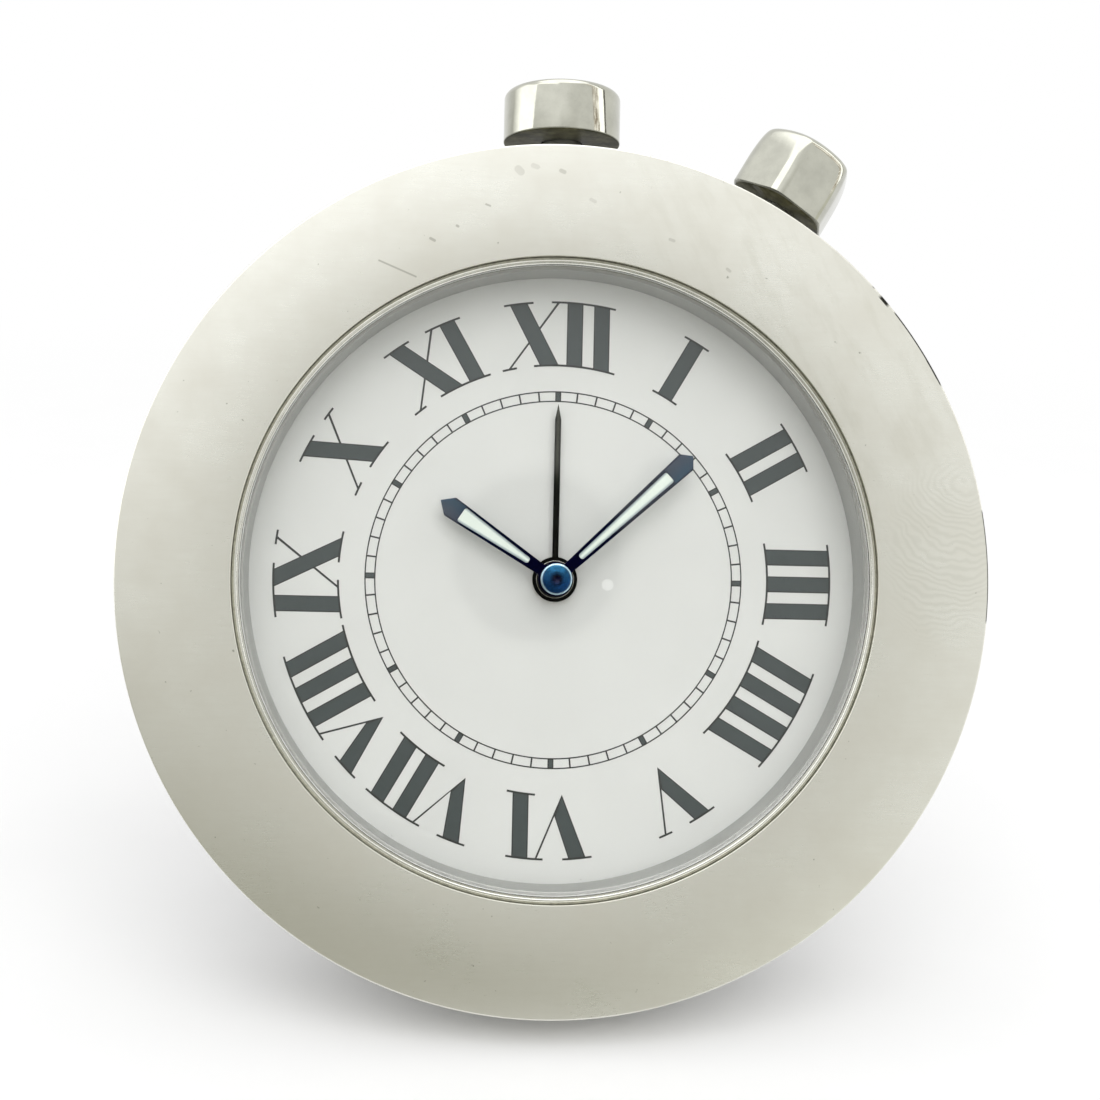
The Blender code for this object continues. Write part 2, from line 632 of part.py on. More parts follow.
def make_crystal_group(face):
    back = CRYSTAL_BACK_DEPTH
    edge = CRYSTAL_RADIUS - CRYSTAL_CHAMFER
    crystal = at_depths(
        [
            (0, back),
            (CRYSTAL_RADIUS, back),
            (CRYSTAL_RADIUS, CRYSTAL_FRONT_DEPTH + CRYSTAL_CHAMFER),
            (edge, CRYSTAL_FRONT_DEPTH),
            (0, CRYSTAL_FRONT_DEPTH),
        ]
    )
    add_part("crystal", turned(crystal, RIM_FACETS), "glass_clear", face)
    retainer = ring(RETAINER_INNER_RADIUS, RETAINER_OUTER_RADIUS, RETAINER_FRONT_DEPTH, back)
    add_part("crystal_retaining_ring", turned(retainer, RIM_FACETS), "polished_steel", face)
    gasket = ring(GASKET_INNER_RADIUS, GASKET_OUTER_RADIUS, GASKET_FRONT_DEPTH, back)
    add_part("crystal_gasket", turned(gasket, RIM_FACETS), "seal_black", face)

    step = BEZEL_THICKNESS + SPIGOT_DEPTH + FIT_GAP
    flange = at_depths(
        [
            (FLANGE_INNER_RADIUS, back + FIT_GAP),
            (OPENING_RADIUS - FIT_GAP, back + FIT_GAP),
            (OPENING_RADIUS - FIT_GAP, step),
            (INSIDE_RADIUS, step),
            (INSIDE_RADIUS, DIAL_DEPTH - FIT_GAP),
            (FLANGE_INNER_RADIUS, DIAL_DEPTH - FIT_GAP),
        ]
    )
    add_part("dial_flange_ring", turned(flange, RIM_FACETS), "flange_grey", face)
    hole = ALARM_TUBE_RADIUS + 2 * RUNNING_GAP
    dial = ring(hole, INSIDE_RADIUS, DIAL_DEPTH, DIAL_BACK_DEPTH)
    add_part("dial", turned(dial, RIM_FACETS), "dial_white", face)


def make_screw(name, sizes, parent, location, turn):
    """A slotted screw whose head's underside is at its origin, with the shank towards +Z."""
    head_radius, head_height, shank_radius, shank_length = sizes
    outline = [
        (0, -head_height),
        (head_radius, -head_height),
        (head_radius, 0),
        (shank_radius, 0),
        (shank_radius, shank_length),
        (0, shank_length),
    ]
    screw = add_part(
        name, turned(outline, TINY_FACETS), "nickel", parent, location, (0, 0, turn)
    )
    half = SCREW_SLOT_WIDTH / 2
    reach = head_radius + CUT_OVERRUN
    slot = prism(
        rectangle(-reach, reach, -half, half),
        -head_height - CUT_OVERRUN,
        -head_height + SCREW_SLOT_DEPTH,
    )
    combine(screw, add_tool(f"{name}_slot", slot, screw), "DIFFERENCE")


def make_cover(face):
    cover_radius = COVER_SEAT_RADIUS - FIT_GAP
    cover = add_part(
        "back_cover",
        turned(at_depths([(0, CASE_DEPTH), (cover_radius, CASE_DEPTH), (cover_radius, COVER_DEPTH),
                          (0, COVER_DEPTH)]), RIM_FACETS),
        "brushed_steel",
        face,
    )
    middle = (COVER_DEPTH + CASE_DEPTH) / 2
    tray = rectangle(
        -RECESS_OUTER_HALF_WIDTH, RECESS_OUTER_HALF_WIDTH, RECESS_OUTER_BOTTOM, RECESS_OUTER_TOP
    )
    combine(cover, add_tool("recess_tray", plate(tray, RECESS_BACK_DEPTH, middle), face), "UNION")
    pocket = rectangle(-RECESS_HALF_WIDTH, RECESS_HALF_WIDTH, RECESS_BOTTOM, RECESS_TOP)
    pocket_shape = plate(pocket, RECESS_DEPTH, CASE_DEPTH + CUT_OVERRUN)
    combine(cover, add_tool("recess_pocket", pocket_shape, face), "DIFFERENCE")

    pin_hole = prism(
        arc((-HINGE_DROP, -HINGE_DEPTH), HINGE_PIN_RADIUS + FIT_GAP, 0,
            math.radians(360) * (TINY_FACETS - 1) / TINY_FACETS, TINY_FACETS - 1),
        -pin_half_length() - FIT_GAP,
        pin_half_length() + FIT_GAP,
        "x",
    )
    combine(cover, add_tool("hinge_pin_hole", pin_hole, face), "DIFFERENCE")

    seat = CASE_DEPTH - SCREW_HEAD_RECESS - HATCH_FLANGE - HATCH_GASKET_THICKNESS - 2 * FIT_GAP
    hatch_hole = at_depths(
        [
            (0, COVER_DEPTH - CUT_OVERRUN),
            (HATCH_NECK_RADIUS + RUNNING_GAP, COVER_DEPTH - CUT_OVERRUN),
            (HATCH_NECK_RADIUS + RUNNING_GAP, seat),
            (HATCH_HOLE_RADIUS, seat),
            (HATCH_HOLE_RADIUS, CASE_DEPTH + CUT_OVERRUN),
            (0, CASE_DEPTH + CUT_OVERRUN),
        ]
    )
    combine(cover, add_tool("hatch_hole", turned(hatch_hole, MIDDLE_FACETS), hatch_axis), "DIFFERENCE")

    sizes = (
        COVER_SCREW_HEAD_RADIUS,
        COVER_SCREW_HEAD_HEIGHT,
        COVER_SCREW_SHANK_RADIUS,
        COVER_SCREW_SHANK_LENGTH,
    )
    floor = screw_floor_depth()
    sink = at_depths(
        [
            (0, COVER_DEPTH - CUT_OVERRUN),
            (COVER_SCREW_SHANK_RADIUS + RUNNING_GAP, COVER_DEPTH - CUT_OVERRUN),
            (COVER_SCREW_SHANK_RADIUS + RUNNING_GAP, floor - FIT_GAP),
            (COVER_SCREW_HEAD_RADIUS + RUNNING_GAP, floor - FIT_GAP),
            (COVER_SCREW_HEAD_RADIUS + RUNNING_GAP, CASE_DEPTH + CUT_OVERRUN),
            (0, CASE_DEPTH + CUT_OVERRUN),
        ]
    )
    for number in range(COVER_SCREWS):
        angle = screw_angle(number)
        place = polar(screw_circle(), angle)
        tool = add_tool(f"cover_screw_sink_{number + 1}", turned(sink, TINY_FACETS), face, place)
        combine(cover, tool, "DIFFERENCE")
        place = polar(screw_circle(), angle, floor)
        make_screw(f"back_screw_{number + 1}", sizes, face, place, (number + 1) * angle)

    gasket = ring(
        BORE_RADIUS + RUNNING_GAP,
        GROOVE_RADIUS - FIT_GAP,
        COVER_SEAT_DEPTH - GASKET_GROOVE_DEPTH + FIT_GAP,
        COVER_SEAT_DEPTH - FIT_GAP,
    )
    add_part("back_gasket", turned(gasket, RIM_FACETS), "seal_black", face)
    make_hatch(seat)


def make_hatch(seat):
    """The coin-slot hatch, its gasket and the contact on its inner face, around the hatch axis."""
    back = CASE_DEPTH - SCREW_HEAD_RECESS
    underside = back - HATCH_FLANGE
    inner = seat - HATCH_NECK_LENGTH
    outline = at_depths(
        [
            (0, inner),
            (HATCH_NECK_RADIUS, inner),
            (HATCH_NECK_RADIUS, underside),
            (HATCH_RADIUS, underside),
            (HATCH_RADIUS, back),
            (0, back),
        ]
    )
    hatch = add_part("battery_hatch", turned(outline, MIDDLE_FACETS), "brushed_steel", hatch_axis)
    half_length = HATCH_SLOT_LENGTH / 2
    half_width = HATCH_SLOT_WIDTH / 2
    slot = plate(
        rectangle(-half_length, half_length, -half_width, half_width),
        back - HATCH_SLOT_DEPTH,
        back + CUT_OVERRUN,
    )
    combine(hatch, add_tool("hatch_slot", slot, hatch_axis), "DIFFERENCE")
    gasket = ring(
        HATCH_NECK_RADIUS + RUNNING_GAP,
        HATCH_RADIUS,
        seat + FIT_GAP,
        seat + FIT_GAP + HATCH_GASKET_THICKNESS,
    )
    add_part("hatch_gasket", turned(gasket, MIDDLE_FACETS), "seal_black", hatch_axis)
    contact = at_depths(
        [
            (0, BATTERY_BACK_DEPTH + FIT_GAP),
            (CONTACT_RADIUS / 2, BATTERY_BACK_DEPTH + FIT_GAP),
            (CONTACT_RADIUS, inner - CONTACT_THICKNESS - FIT_GAP),
            (CONTACT_RADIUS, inner - FIT_GAP),
            (0, inner - FIT_GAP),
        ]
    )
    add_part("battery_contact_plus", turned(contact, SMALL_FACETS), "nickel", hatch_axis)


def pin_half_length():
    return RECESS_HALF_WIDTH + HINGE_PIN_ENTRY


def make_stand(hinge):
    """The leg is drawn closed, lying up along +Y, and its hinge frame turns it open."""
    half = LEG_WIDTH / 2
    meeting = math.asin(LEG_INNER_FACE / KNUCKLE_RADIUS)
    side = [(LEG_REACH - LEG_THICKNESS * math.tan(LEG_SLANT), -KNUCKLE_RADIUS), (LEG_REACH, LEG_INNER_FACE)]
    side += arc((0, 0), KNUCKLE_RADIUS, meeting, math.radians(270), MIDDLE_FACETS // 2)
    leg = add_part("stand_leg", prism(side, -half, half, "x"), "brushed_steel", hinge)
    bore = prism(
        circle(HINGE_PIN_RADIUS + RUNNING_GAP, TINY_FACETS), -half - CUT_OVERRUN, half + CUT_OVERRUN, "x"
    )
    combine(leg, add_tool("leg_bore", bore, hinge), "DIFFERENCE")
    pin = prism(circle(HINGE_PIN_RADIUS, TINY_FACETS), -pin_half_length(), pin_half_length(), "x")
    add_part("hinge_pin", pin, "polished_steel", face_frame, (0, -HINGE_DROP, -HINGE_DEPTH))


def circle(radius, facets):
    turn = math.radians(360)
    return arc((0, 0), radius, 0, turn * (facets - 1) / facets, facets - 1)


def make_battery(face):
    outline = at_depths(
        [
            (0, BATTERY_FRONT_DEPTH),
            (BATTERY_RADIUS - BATTERY_EDGE, BATTERY_FRONT_DEPTH),
            (BATTERY_RADIUS, BATTERY_FRONT_DEPTH + BATTERY_EDGE),
            (BATTERY_RADIUS, BATTERY_BACK_DEPTH - BATTERY_EDGE),
            (BATTERY_RADIUS - BATTERY_EDGE, BATTERY_BACK_DEPTH),
            (0, BATTERY_BACK_DEPTH),
        ]
    )
    place = (0, BATTERY_HEIGHT_ABOVE_CENTRE, 0)
    add_part("battery", turned(outline, MIDDLE_FACETS), "cell_steel", face, place)
    back = BATTERY_FRONT_DEPTH - FIT_GAP
    contact = rod(CONTACT_RADIUS, -back, -back + CONTACT_THICKNESS)
    add_part("battery_contact_minus", turned(contact, SMALL_FACETS), "nickel", face, place)
    cup = ring(
        BATTERY_WELL_RADIUS,
        BATTERY_WELL_RADIUS + CUP_WALL,
        MAIN_PLATE_BACK_DEPTH + FIT_GAP,
        RECESS_BACK_DEPTH - LAYER_GAP,
    )
    add_part("battery_cup", turned(cup, MIDDLE_FACETS), "holder_plastic", face, place)


def make_movement_body(face):
    front = DIAL_BACK_DEPTH + FIT_GAP
    holder = add_part(
        "movement_holder",
        turned(ring(MOTION_WELL_RADIUS, INSIDE_RADIUS, front, MAIN_PLATE_DEPTH - FIT_GAP), RIM_FACETS),
        "holder_plastic",
        face,
    )
    well_floor = BATTERY_FRONT_DEPTH - 2 * FIT_GAP - CONTACT_THICKNESS
    well = rod(BATTERY_WELL_RADIUS, -MAIN_PLATE_BACK_DEPTH - CUT_OVERRUN, -well_floor)
    place = (0, BATTERY_HEIGHT_ABOVE_CENTRE, 0)
    battery_well = add_tool("battery_well", turned(well, MIDDLE_FACETS), face, place)
    combine(holder, battery_well, "DIFFERENCE")

    stem_channel = rod(CROWN_STEM_RADIUS + LAYER_GAP, MOTION_WELL_RADIUS - CUT_OVERRUN, BORE_RADIUS)
    combine(holder, add_tool("stem_channel", turned(stem_channel, SMALL_FACETS), crown_axis), "DIFFERENCE")
    half = YOKE_WIDTH / 2 + YOKE_POCKET_ROOM
    room = YOKE_HEIGHT / 2 + YOKE_POCKET_ROOM
    pocket = prism(
        rectangle(-half, half, -room, CASE_DEPTH),
        MOTION_WELL_RADIUS - 2 * CUT_OVERRUN,
        yoke_start() + YOKE_THICKNESS + CROWN_PULL + YOKE_POCKET_ROOM,
    )
    yoke_pocket = add_tool("yoke_pocket", pocket, crown_axis)
    combine(holder, yoke_pocket, "DIFFERENCE")
    button_half = SWITCH_BLADE_WIDTH / 2 + LAYER_GAP
    clearance = BUTTON_CLIP_RADIUS + LAYER_GAP
    channel = prism(rectangle(-button_half, button_half, -clearance, CASE_DEPTH), blade_height(), BORE_RADIUS)
    button_channel = add_tool("button_channel", channel, button_axis)
    combine(holder, button_channel, "DIFFERENCE")

    slot = plate(
        blade_outline(FIT_GAP), ALARM_BLADE_DEPTH - FIT_GAP, ALARM_BLADE_DEPTH + ALARM_BLADE_THICKNESS + FIT_GAP
    )
    combine(holder, add_tool("alarm_blade_slot", slot, face), "DIFFERENCE")

    main_plate = add_part(
        "main_plate",
        turned(at_depths([(0, MAIN_PLATE_DEPTH), (INSIDE_RADIUS, MAIN_PLATE_DEPTH),
                          (INSIDE_RADIUS, MAIN_PLATE_BACK_DEPTH), (0, MAIN_PLATE_BACK_DEPTH)]), RIM_FACETS),
        "nickel",
        face,
    )
    combine(main_plate, battery_well, "DIFFERENCE")
    combine(main_plate, yoke_pocket, "DIFFERENCE")
    combine(main_plate, button_channel, "DIFFERENCE")
    arbor_hole = rod(ARBOR_RADIUS + RUNNING_GAP, -CASE_DEPTH, 0)
    combine(main_plate, add_tool("arbor_hole", turned(arbor_hole, TINY_FACETS), face), "DIFFERENCE")
    post_front = HOUR_WHEEL_DEPTH - LAYER_GAP / 2
    for name, distance in (("minute_post", MINUTE_WHEEL_DISTANCE), ("setting_post", SETTING_WHEEL_DISTANCE)):
        post = rod(POST_RADIUS, -(MAIN_PLATE_DEPTH + MAIN_PLATE_BACK_DEPTH) / 2, -post_front)
        tool = add_tool(name, turned(post, TINY_FACETS), face, polar(distance, GEAR_LINE_ANGLE))
        combine(main_plate, tool, "UNION")

    sizes = (
        MOVEMENT_SCREW_HEAD_RADIUS,
        MOVEMENT_SCREW_HEAD_HEIGHT,
        MOVEMENT_SCREW_SHANK_RADIUS,
        MOVEMENT_SCREW_SHANK_LENGTH,
    )
    for number, mirror in enumerate((1, -1)):
        angle = math.radians(PLATE_SCREW_ANGLE_DEGREES)
        x, y, _ = polar(INSIDE_RADIUS - PLATE_SCREW_INSET, angle)
        tool_outline = rod(
            MOVEMENT_SCREW_SHANK_RADIUS + FIT_GAP,
            -MAIN_PLATE_BACK_DEPTH - CUT_OVERRUN,
            -MAIN_PLATE_BACK_DEPTH + MOVEMENT_SCREW_SHANK_LENGTH + FIT_GAP,
        )
        tool = add_tool(f"plate_screw_hole_{number + 1}", turned(tool_outline, TINY_FACETS), face,
                        (mirror * x, y, 0))
        combine(main_plate, tool, "DIFFERENCE")
        combine(holder, tool, "DIFFERENCE")
        place = (mirror * x, y, -MAIN_PLATE_BACK_DEPTH - FIT_GAP)
        make_screw(f"plate_screw_{number + 1}", sizes, face, place, angle * mirror)

    spacer = ring(
        INSIDE_RADIUS - SPACER_WALL, INSIDE_RADIUS, MAIN_PLATE_BACK_DEPTH + FIT_GAP, COVER_DEPTH - FIT_GAP
    )
    add_part("movement_spacer", turned(spacer, RIM_FACETS), "holder_plastic", face)
    make_bridge(face, main_plate, sizes)


def make_bridge(face, main_plate, sizes):
    outline = rounded_rectangle(-BRIDGE_HALF_WIDTH, BRIDGE_HALF_WIDTH, -BRIDGE_DROP, BRIDGE_TOP, BRIDGE_CORNER)
    bridge = add_part("train_bridge", plate(outline, BRIDGE_DEPTH, BRIDGE_BACK_DEPTH), "nickel", face)
    for number, mirror in enumerate((1, -1)):
        x = mirror * (BRIDGE_HALF_WIDTH - PILLAR_RADIUS - LAYER_GAP)
        y = BRIDGE_TOP - BRIDGE_CORNER
        pillar = rod(PILLAR_RADIUS, -(BRIDGE_DEPTH + BRIDGE_BACK_DEPTH) / 2, -MAIN_PLATE_BACK_DEPTH - FIT_GAP)
        tool = add_tool(f"bridge_pillar_{number + 1}", turned(pillar, TINY_FACETS), face, (x, y, 0))
        combine(bridge, tool, "UNION")
        hole = rod(
            MOVEMENT_SCREW_SHANK_RADIUS + FIT_GAP,
            -BRIDGE_BACK_DEPTH - CUT_OVERRUN,
            -BRIDGE_BACK_DEPTH + MOVEMENT_SCREW_SHANK_LENGTH + FIT_GAP,
        )
        tool = add_tool(f"bridge_screw_hole_{number + 1}", turned(hole, TINY_FACETS), face, (x, y, 0))
        combine(bridge, tool, "DIFFERENCE")
        combine(main_plate, tool, "DIFFERENCE")
        place = (x, y, -BRIDGE_BACK_DEPTH - FIT_GAP)
        turn = mirror * math.radians(BRIDGE_SCREW_TURN_DEGREES)
        make_screw(f"bridge_screw_{number + 1}", sizes, face, place, turn)

    half = BRIDGE_HALF_WIDTH - BOARD_INSET
    board = rounded_rectangle(-half, half, -BRIDGE_DROP, BRIDGE_TOP, BRIDGE_CORNER / 2)
    board_shape = plate(board, BRIDGE_BACK_DEPTH + FIT_GAP, BOARD_BACK_DEPTH)
    add_part("circuit_board", board_shape, "board_green", face)
    buzzer_back = RECESS_BACK_DEPTH - FIT_GAP
    buzzer = rod(BUZZER_RADIUS, -buzzer_back, -buzzer_back + BUZZER_THICKNESS)
    add_part("piezo_buzzer", turned(buzzer, MIDDLE_FACETS), "brass", face)


def make_motor(face):
    """Coil, stator and the closed block of the stepping motor, between main plate and bridge."""
    middle = (MAIN_PLATE_BACK_DEPTH + BRIDGE_DEPTH) / 2
    end = STATOR_HALF_WIDTH + COIL_OVERHANG
    inner_end = end - COIL_FLANGE_THICKNESS
    wound = COIL_RADIUS - (COIL_RADIUS - COIL_CORE_RADIUS) / 4
    outline = [
        (0, -end),
        (COIL_RADIUS, -end),
        (COIL_RADIUS, -inner_end),
        (wound, -inner_end),
        (wound, inner_end),
        (COIL_RADIUS, inner_end),
        (COIL_RADIUS, end),
        (0, end),
    ]
    place = (0, -COIL_DROP, -middle)
    sideways = (0, math.radians(90), 0)
    add_part("drive_coil", turned(outline, TINY_FACETS), "copper_wire", face, place, sideways)
    front = MAIN_PLATE_BACK_DEPTH + FIT_GAP
    stator = rectangle(-STATOR_HALF_WIDTH, STATOR_HALF_WIDTH, -STATOR_DROP, -STATOR_DROP + STATOR_RISE)
    add_part("stator", plate(stator, front, front + STATOR_THICKNESS), "nickel", face)
    block_bottom = -STATOR_DROP + STATOR_RISE + LAYER_GAP
    block = rounded_rectangle(
        -MOTOR_HALF_WIDTH, MOTOR_HALF_WIDTH, block_bottom, block_bottom + MOTOR_RISE, MOTOR_RISE / 6
    )
    add_part("stepping_motor_block", plate(block, front, BRIDGE_DEPTH - FIT_GAP), "seal_black", face)


def make_motion_work(face):
    """Cannon pinion, minute wheel, hour wheel and setting wheel, in mesh along the gear line."""
    line = GEAR_LINE_ANGLE
    facing = line + math.radians(180)
    centre_gear = CANNON_TEETH * MOTION_MODULE / 2
    arbor_end = BRIDGE_DEPTH - LAYER_GAP
    cannon = add_part(
        "cannon_pinion", turned(rod(ARBOR_RADIUS, -arbor_end, -ARBOR_FRONT_DEPTH), SMALL_FACETS), "brass", face
    )
    teeth = plate(
        gear_outline(CANNON_TEETH, centre_gear, line),
        MINUTE_WHEEL_DEPTH - FIT_GAP,
        MINUTE_WHEEL_DEPTH + WHEEL_THICKNESS + FIT_GAP,
    )
    combine(cannon, add_tool("cannon_teeth", teeth, face), "UNION")
    wheel_front = MAIN_PLATE_BACK_DEPTH + LAYER_GAP
    centre_teeth = plate(
        gear_outline(CENTRE_WHEEL_TEETH, CENTRE_WHEEL_RADIUS, 0), wheel_front, wheel_front + WHEEL_THICKNESS
    )
    centre_wheel = add_part("centre_wheel", centre_teeth, "brass", face)
    hole = rod(ARBOR_RADIUS + FIT_GAP, -CASE_DEPTH, 0)
    combine(centre_wheel, add_tool("centre_wheel_bore", turned(hole, SMALL_FACETS), face), "DIFFERENCE")

    minute_pitch = math.radians(360) / MINUTE_WHEEL_TEETH
    minute_place = polar(MINUTE_WHEEL_DISTANCE, line)
    minute_turn = facing + minute_pitch / 2
    minute_shape = plate(
        gear_outline(MINUTE_WHEEL_TEETH, MINUTE_WHEEL_TEETH * MOTION_MODULE / 2, minute_turn),
        MINUTE_WHEEL_DEPTH,
        MINUTE_WHEEL_DEPTH + WHEEL_THICKNESS,
    )
    minute_wheel = add_part("minute_wheel", minute_shape, "brass", face, minute_place)
    pinion_shape = plate(
        gear_outline(MINUTE_PINION_TEETH, MINUTE_PINION_TEETH * HOUR_MODULE / 2, facing),
        HOUR_WHEEL_DEPTH,
        MINUTE_WHEEL_DEPTH + WHEEL_THICKNESS / 2,
    )
    combine(minute_wheel, add_tool("minute_pinion_teeth", pinion_shape, face, minute_place), "UNION")
    post_hole = rod(POST_RADIUS + RUNNING_GAP, -CASE_DEPTH, 0)
    tool = add_tool("minute_wheel_bore", turned(post_hole, TINY_FACETS), face, minute_place)
    combine(minute_wheel, tool, "DIFFERENCE")

    setting_place = polar(SETTING_WHEEL_DISTANCE, line)
    # A gap of the minute wheel, or a tooth, lies on the far side of its axis; the setting wheel answers it.
    far_share = ((line - minute_turn) / minute_pitch) % 1.0
    setting_pitch = math.radians(360) / SETTING_WHEEL_TEETH
    setting_turn = facing + (0.5 + far_share) * setting_pitch
    setting_shape = plate(
        gear_outline(SETTING_WHEEL_TEETH, SETTING_WHEEL_TEETH * MOTION_MODULE / 2, setting_turn),
        MINUTE_WHEEL_DEPTH,
        MINUTE_WHEEL_DEPTH + WHEEL_THICKNESS,
    )
    setting_wheel = add_part("setting_wheel", setting_shape, "brass", face, setting_place)
    tool = add_tool("setting_wheel_bore", turned(post_hole, TINY_FACETS), face, setting_place)
    combine(setting_wheel, tool, "DIFFERENCE")

    hour_pitch = math.radians(360) / HOUR_WHEEL_TEETH
    hour_shape = plate(
        gear_outline(HOUR_WHEEL_TEETH, HOUR_WHEEL_TEETH * HOUR_MODULE / 2, line + hour_pitch / 2),
        HOUR_WHEEL_DEPTH,
        HOUR_WHEEL_DEPTH + WHEEL_THICKNESS,
    )
    make_tube_wheel(
        "hour_wheel", hour_shape, HOUR_TUBE_BORE, HOUR_TUBE_RADIUS,
        HOUR_HAND_DEPTH - LAYER_GAP, HOUR_WHEEL_DEPTH + WHEEL_THICKNESS / 2, face,
    )
    alarm_shape = plate(
        gear_outline(ALARM_WHEEL_TEETH, ALARM_WHEEL_RADIUS, 0),
        ALARM_WHEEL_DEPTH,
        ALARM_WHEEL_DEPTH + WHEEL_THICKNESS,
    )
    make_tube_wheel(
        "alarm_wheel", alarm_shape, ALARM_TUBE_BORE, ALARM_TUBE_RADIUS,
        ALARM_HAND_DEPTH - LAYER_GAP, ALARM_WHEEL_DEPTH + WHEEL_THICKNESS / 2, face,
    )
    blade = plate(blade_outline(0), ALARM_BLADE_DEPTH, ALARM_BLADE_DEPTH + ALARM_BLADE_THICKNESS)
    add_part("alarm_contact_blade", blade, "brass", face)


def blade_outline(gap):
    """The alarm contact blade, or its slot in the holder where the gap isn't zero."""
    end = -ALARM_BLADE_LENGTH - ALARM_BLADE_DROP
    side = -ALARM_BLADE_DROP
    return rectangle(end - gap, end + ALARM_BLADE_LENGTH + gap, side - ALARM_BLADE_WIDTH - gap, side + gap)


def make_tube_wheel(name, wheel_shape, bore, radius, tube_front, tube_back, face):
    """A wheel with a tube that runs forward through the dial to its hand."""
    wheel = add_part(name, wheel_shape, "brass", face)
    tube = rod(radius, -tube_back, -tube_front)
    combine(wheel, add_tool(f"{name}_tube", turned(tube, SMALL_FACETS), face), "UNION")
    hole = rod(bore, -CASE_DEPTH, 0)
    combine(wheel, add_tool(f"{name}_bore", turned(hole, SMALL_FACETS), face), "DIFFERENCE")


def make_hand(name, finish, blade, front, thickness, bore, angle, face):
    """A hand drawn pointing at 12, with its hub around the axis, then turned clockwise."""
    back = front + thickness
    turn = (0, 0, -math.radians(angle))
    hand = add_part(name, plate(blade, front, back), finish, face, (0, 0, 0), turn)
    hub = rod(bore + HUB_WALL, -back, -front)
    combine(hand, add_tool(f"{name}_hub", turned(hub, SMALL_FACETS), face), "UNION")
    hole = rod(bore, -back - CUT_OVERRUN, -front + CUT_OVERRUN)
    combine(hand, add_tool(f"{name}_bore", turned(hole, SMALL_FACETS), face), "DIFFERENCE")
    return hand


def make_sword_hand(name, sizes, front, bore, angle, face):
    """A hand that widens to its shoulders and ends in a point, with a luminous insert in a window."""
    length, point, width, hub_width, tip_room = sizes
    shoulder = length - point
    half = width / 2
    hub_half = hub_width / 2
    blade = [(-hub_half, 0), (hub_half, 0), (half, shoulder), (0, length), (-half, shoulder)]
    hand = make_hand(name, "blued_steel", blade, front, HAND_THICKNESS, bore, angle, face)

    top = length - tip_room

    def half_width_at(distance, border):
        return hub_half + (half - hub_half) * distance / shoulder - border

    def insert_outline(gap):
        border = HAND_BORDER + gap
        end_radius = half_width_at(LUME_START, border)
        low = (0, LUME_START + end_radius)
        rounded_end = arc(low, end_radius, math.radians(180), math.radians(360), 2 * ROUND_STEPS)
        tip_half = half_width_at(top, border)
        return rounded_end + [(tip_half, top - gap), (-tip_half, top - gap)]

    back = front + HAND_THICKNESS
    window = plate(insert_outline(0), front - CUT_OVERRUN, back + CUT_OVERRUN)
    combine(hand, add_tool(f"{name}_window", window, hand), "DIFFERENCE")
    insert = plate(insert_outline(FIT_GAP), front + LUME_RECESS, back)
    add_part(f"{name}_lume", insert, "lume", face, (0, 0, 0), (0, 0, -math.radians(angle)))


def make_hands(face):
    minute = (MINUTE_HAND_LENGTH, MINUTE_HAND_POINT, MINUTE_HAND_WIDTH, MINUTE_HAND_HUB_WIDTH,
              MINUTE_LUME_TIP_ROOM)
    make_sword_hand("minute_hand", minute, MINUTE_HAND_DEPTH, ARBOR_RADIUS + FIT_GAP,
                    MINUTE_ANGLE_DEGREES, face)
    hour = (HOUR_HAND_LENGTH, HOUR_HAND_POINT, HOUR_HAND_WIDTH, HOUR_HAND_HUB_WIDTH, HOUR_LUME_TIP_ROOM)
    make_sword_hand("hour_hand", hour, HOUR_HAND_DEPTH, HOUR_TUBE_RADIUS + FIT_GAP,
                    HOUR_ANGLE_DEGREES, face)
    half = ALARM_HAND_WIDTH / 2
    needle = [
        (-half, 0),
        (half, 0),
        (half, ALARM_HAND_LENGTH - ALARM_HAND_POINT),
        (0, ALARM_HAND_LENGTH),
        (-half, ALARM_HAND_LENGTH - ALARM_HAND_POINT),
    ]
    make_hand("alarm_hand", "alarm_black", needle, ALARM_HAND_DEPTH, ALARM_HAND_THICKNESS,
              ALARM_TUBE_RADIUS + FIT_GAP, 0, face)

    base = MINUTE_HAND_DEPTH - FIT_GAP
    top = base - HAND_CAP_HEIGHT
    shoulder = top + HAND_CAP_DOME
    edge = HAND_CAP_RADIUS - HAND_CAP_RIM
    socket = ARBOR_RADIUS + FIT_GAP
    dimple = HAND_CAP_DIMPLE_RADIUS
    outline = [
        (0, ARBOR_FRONT_DEPTH - FIT_GAP),
        (socket, ARBOR_FRONT_DEPTH - FIT_GAP),
        (socket, base),
        (HAND_CAP_RADIUS, base),
        (HAND_CAP_RADIUS, shoulder),
        (edge, shoulder - HAND_CAP_RIM),
        ((edge + dimple) / 2, top + HAND_CAP_RIM / 2),
        (dimple, top),
        (0, top + HAND_CAP_DIMPLE_DEPTH),
    ]
    add_part("hand_cap", turned(at_depths(outline), SMALL_FACETS), "cap_blue", face)


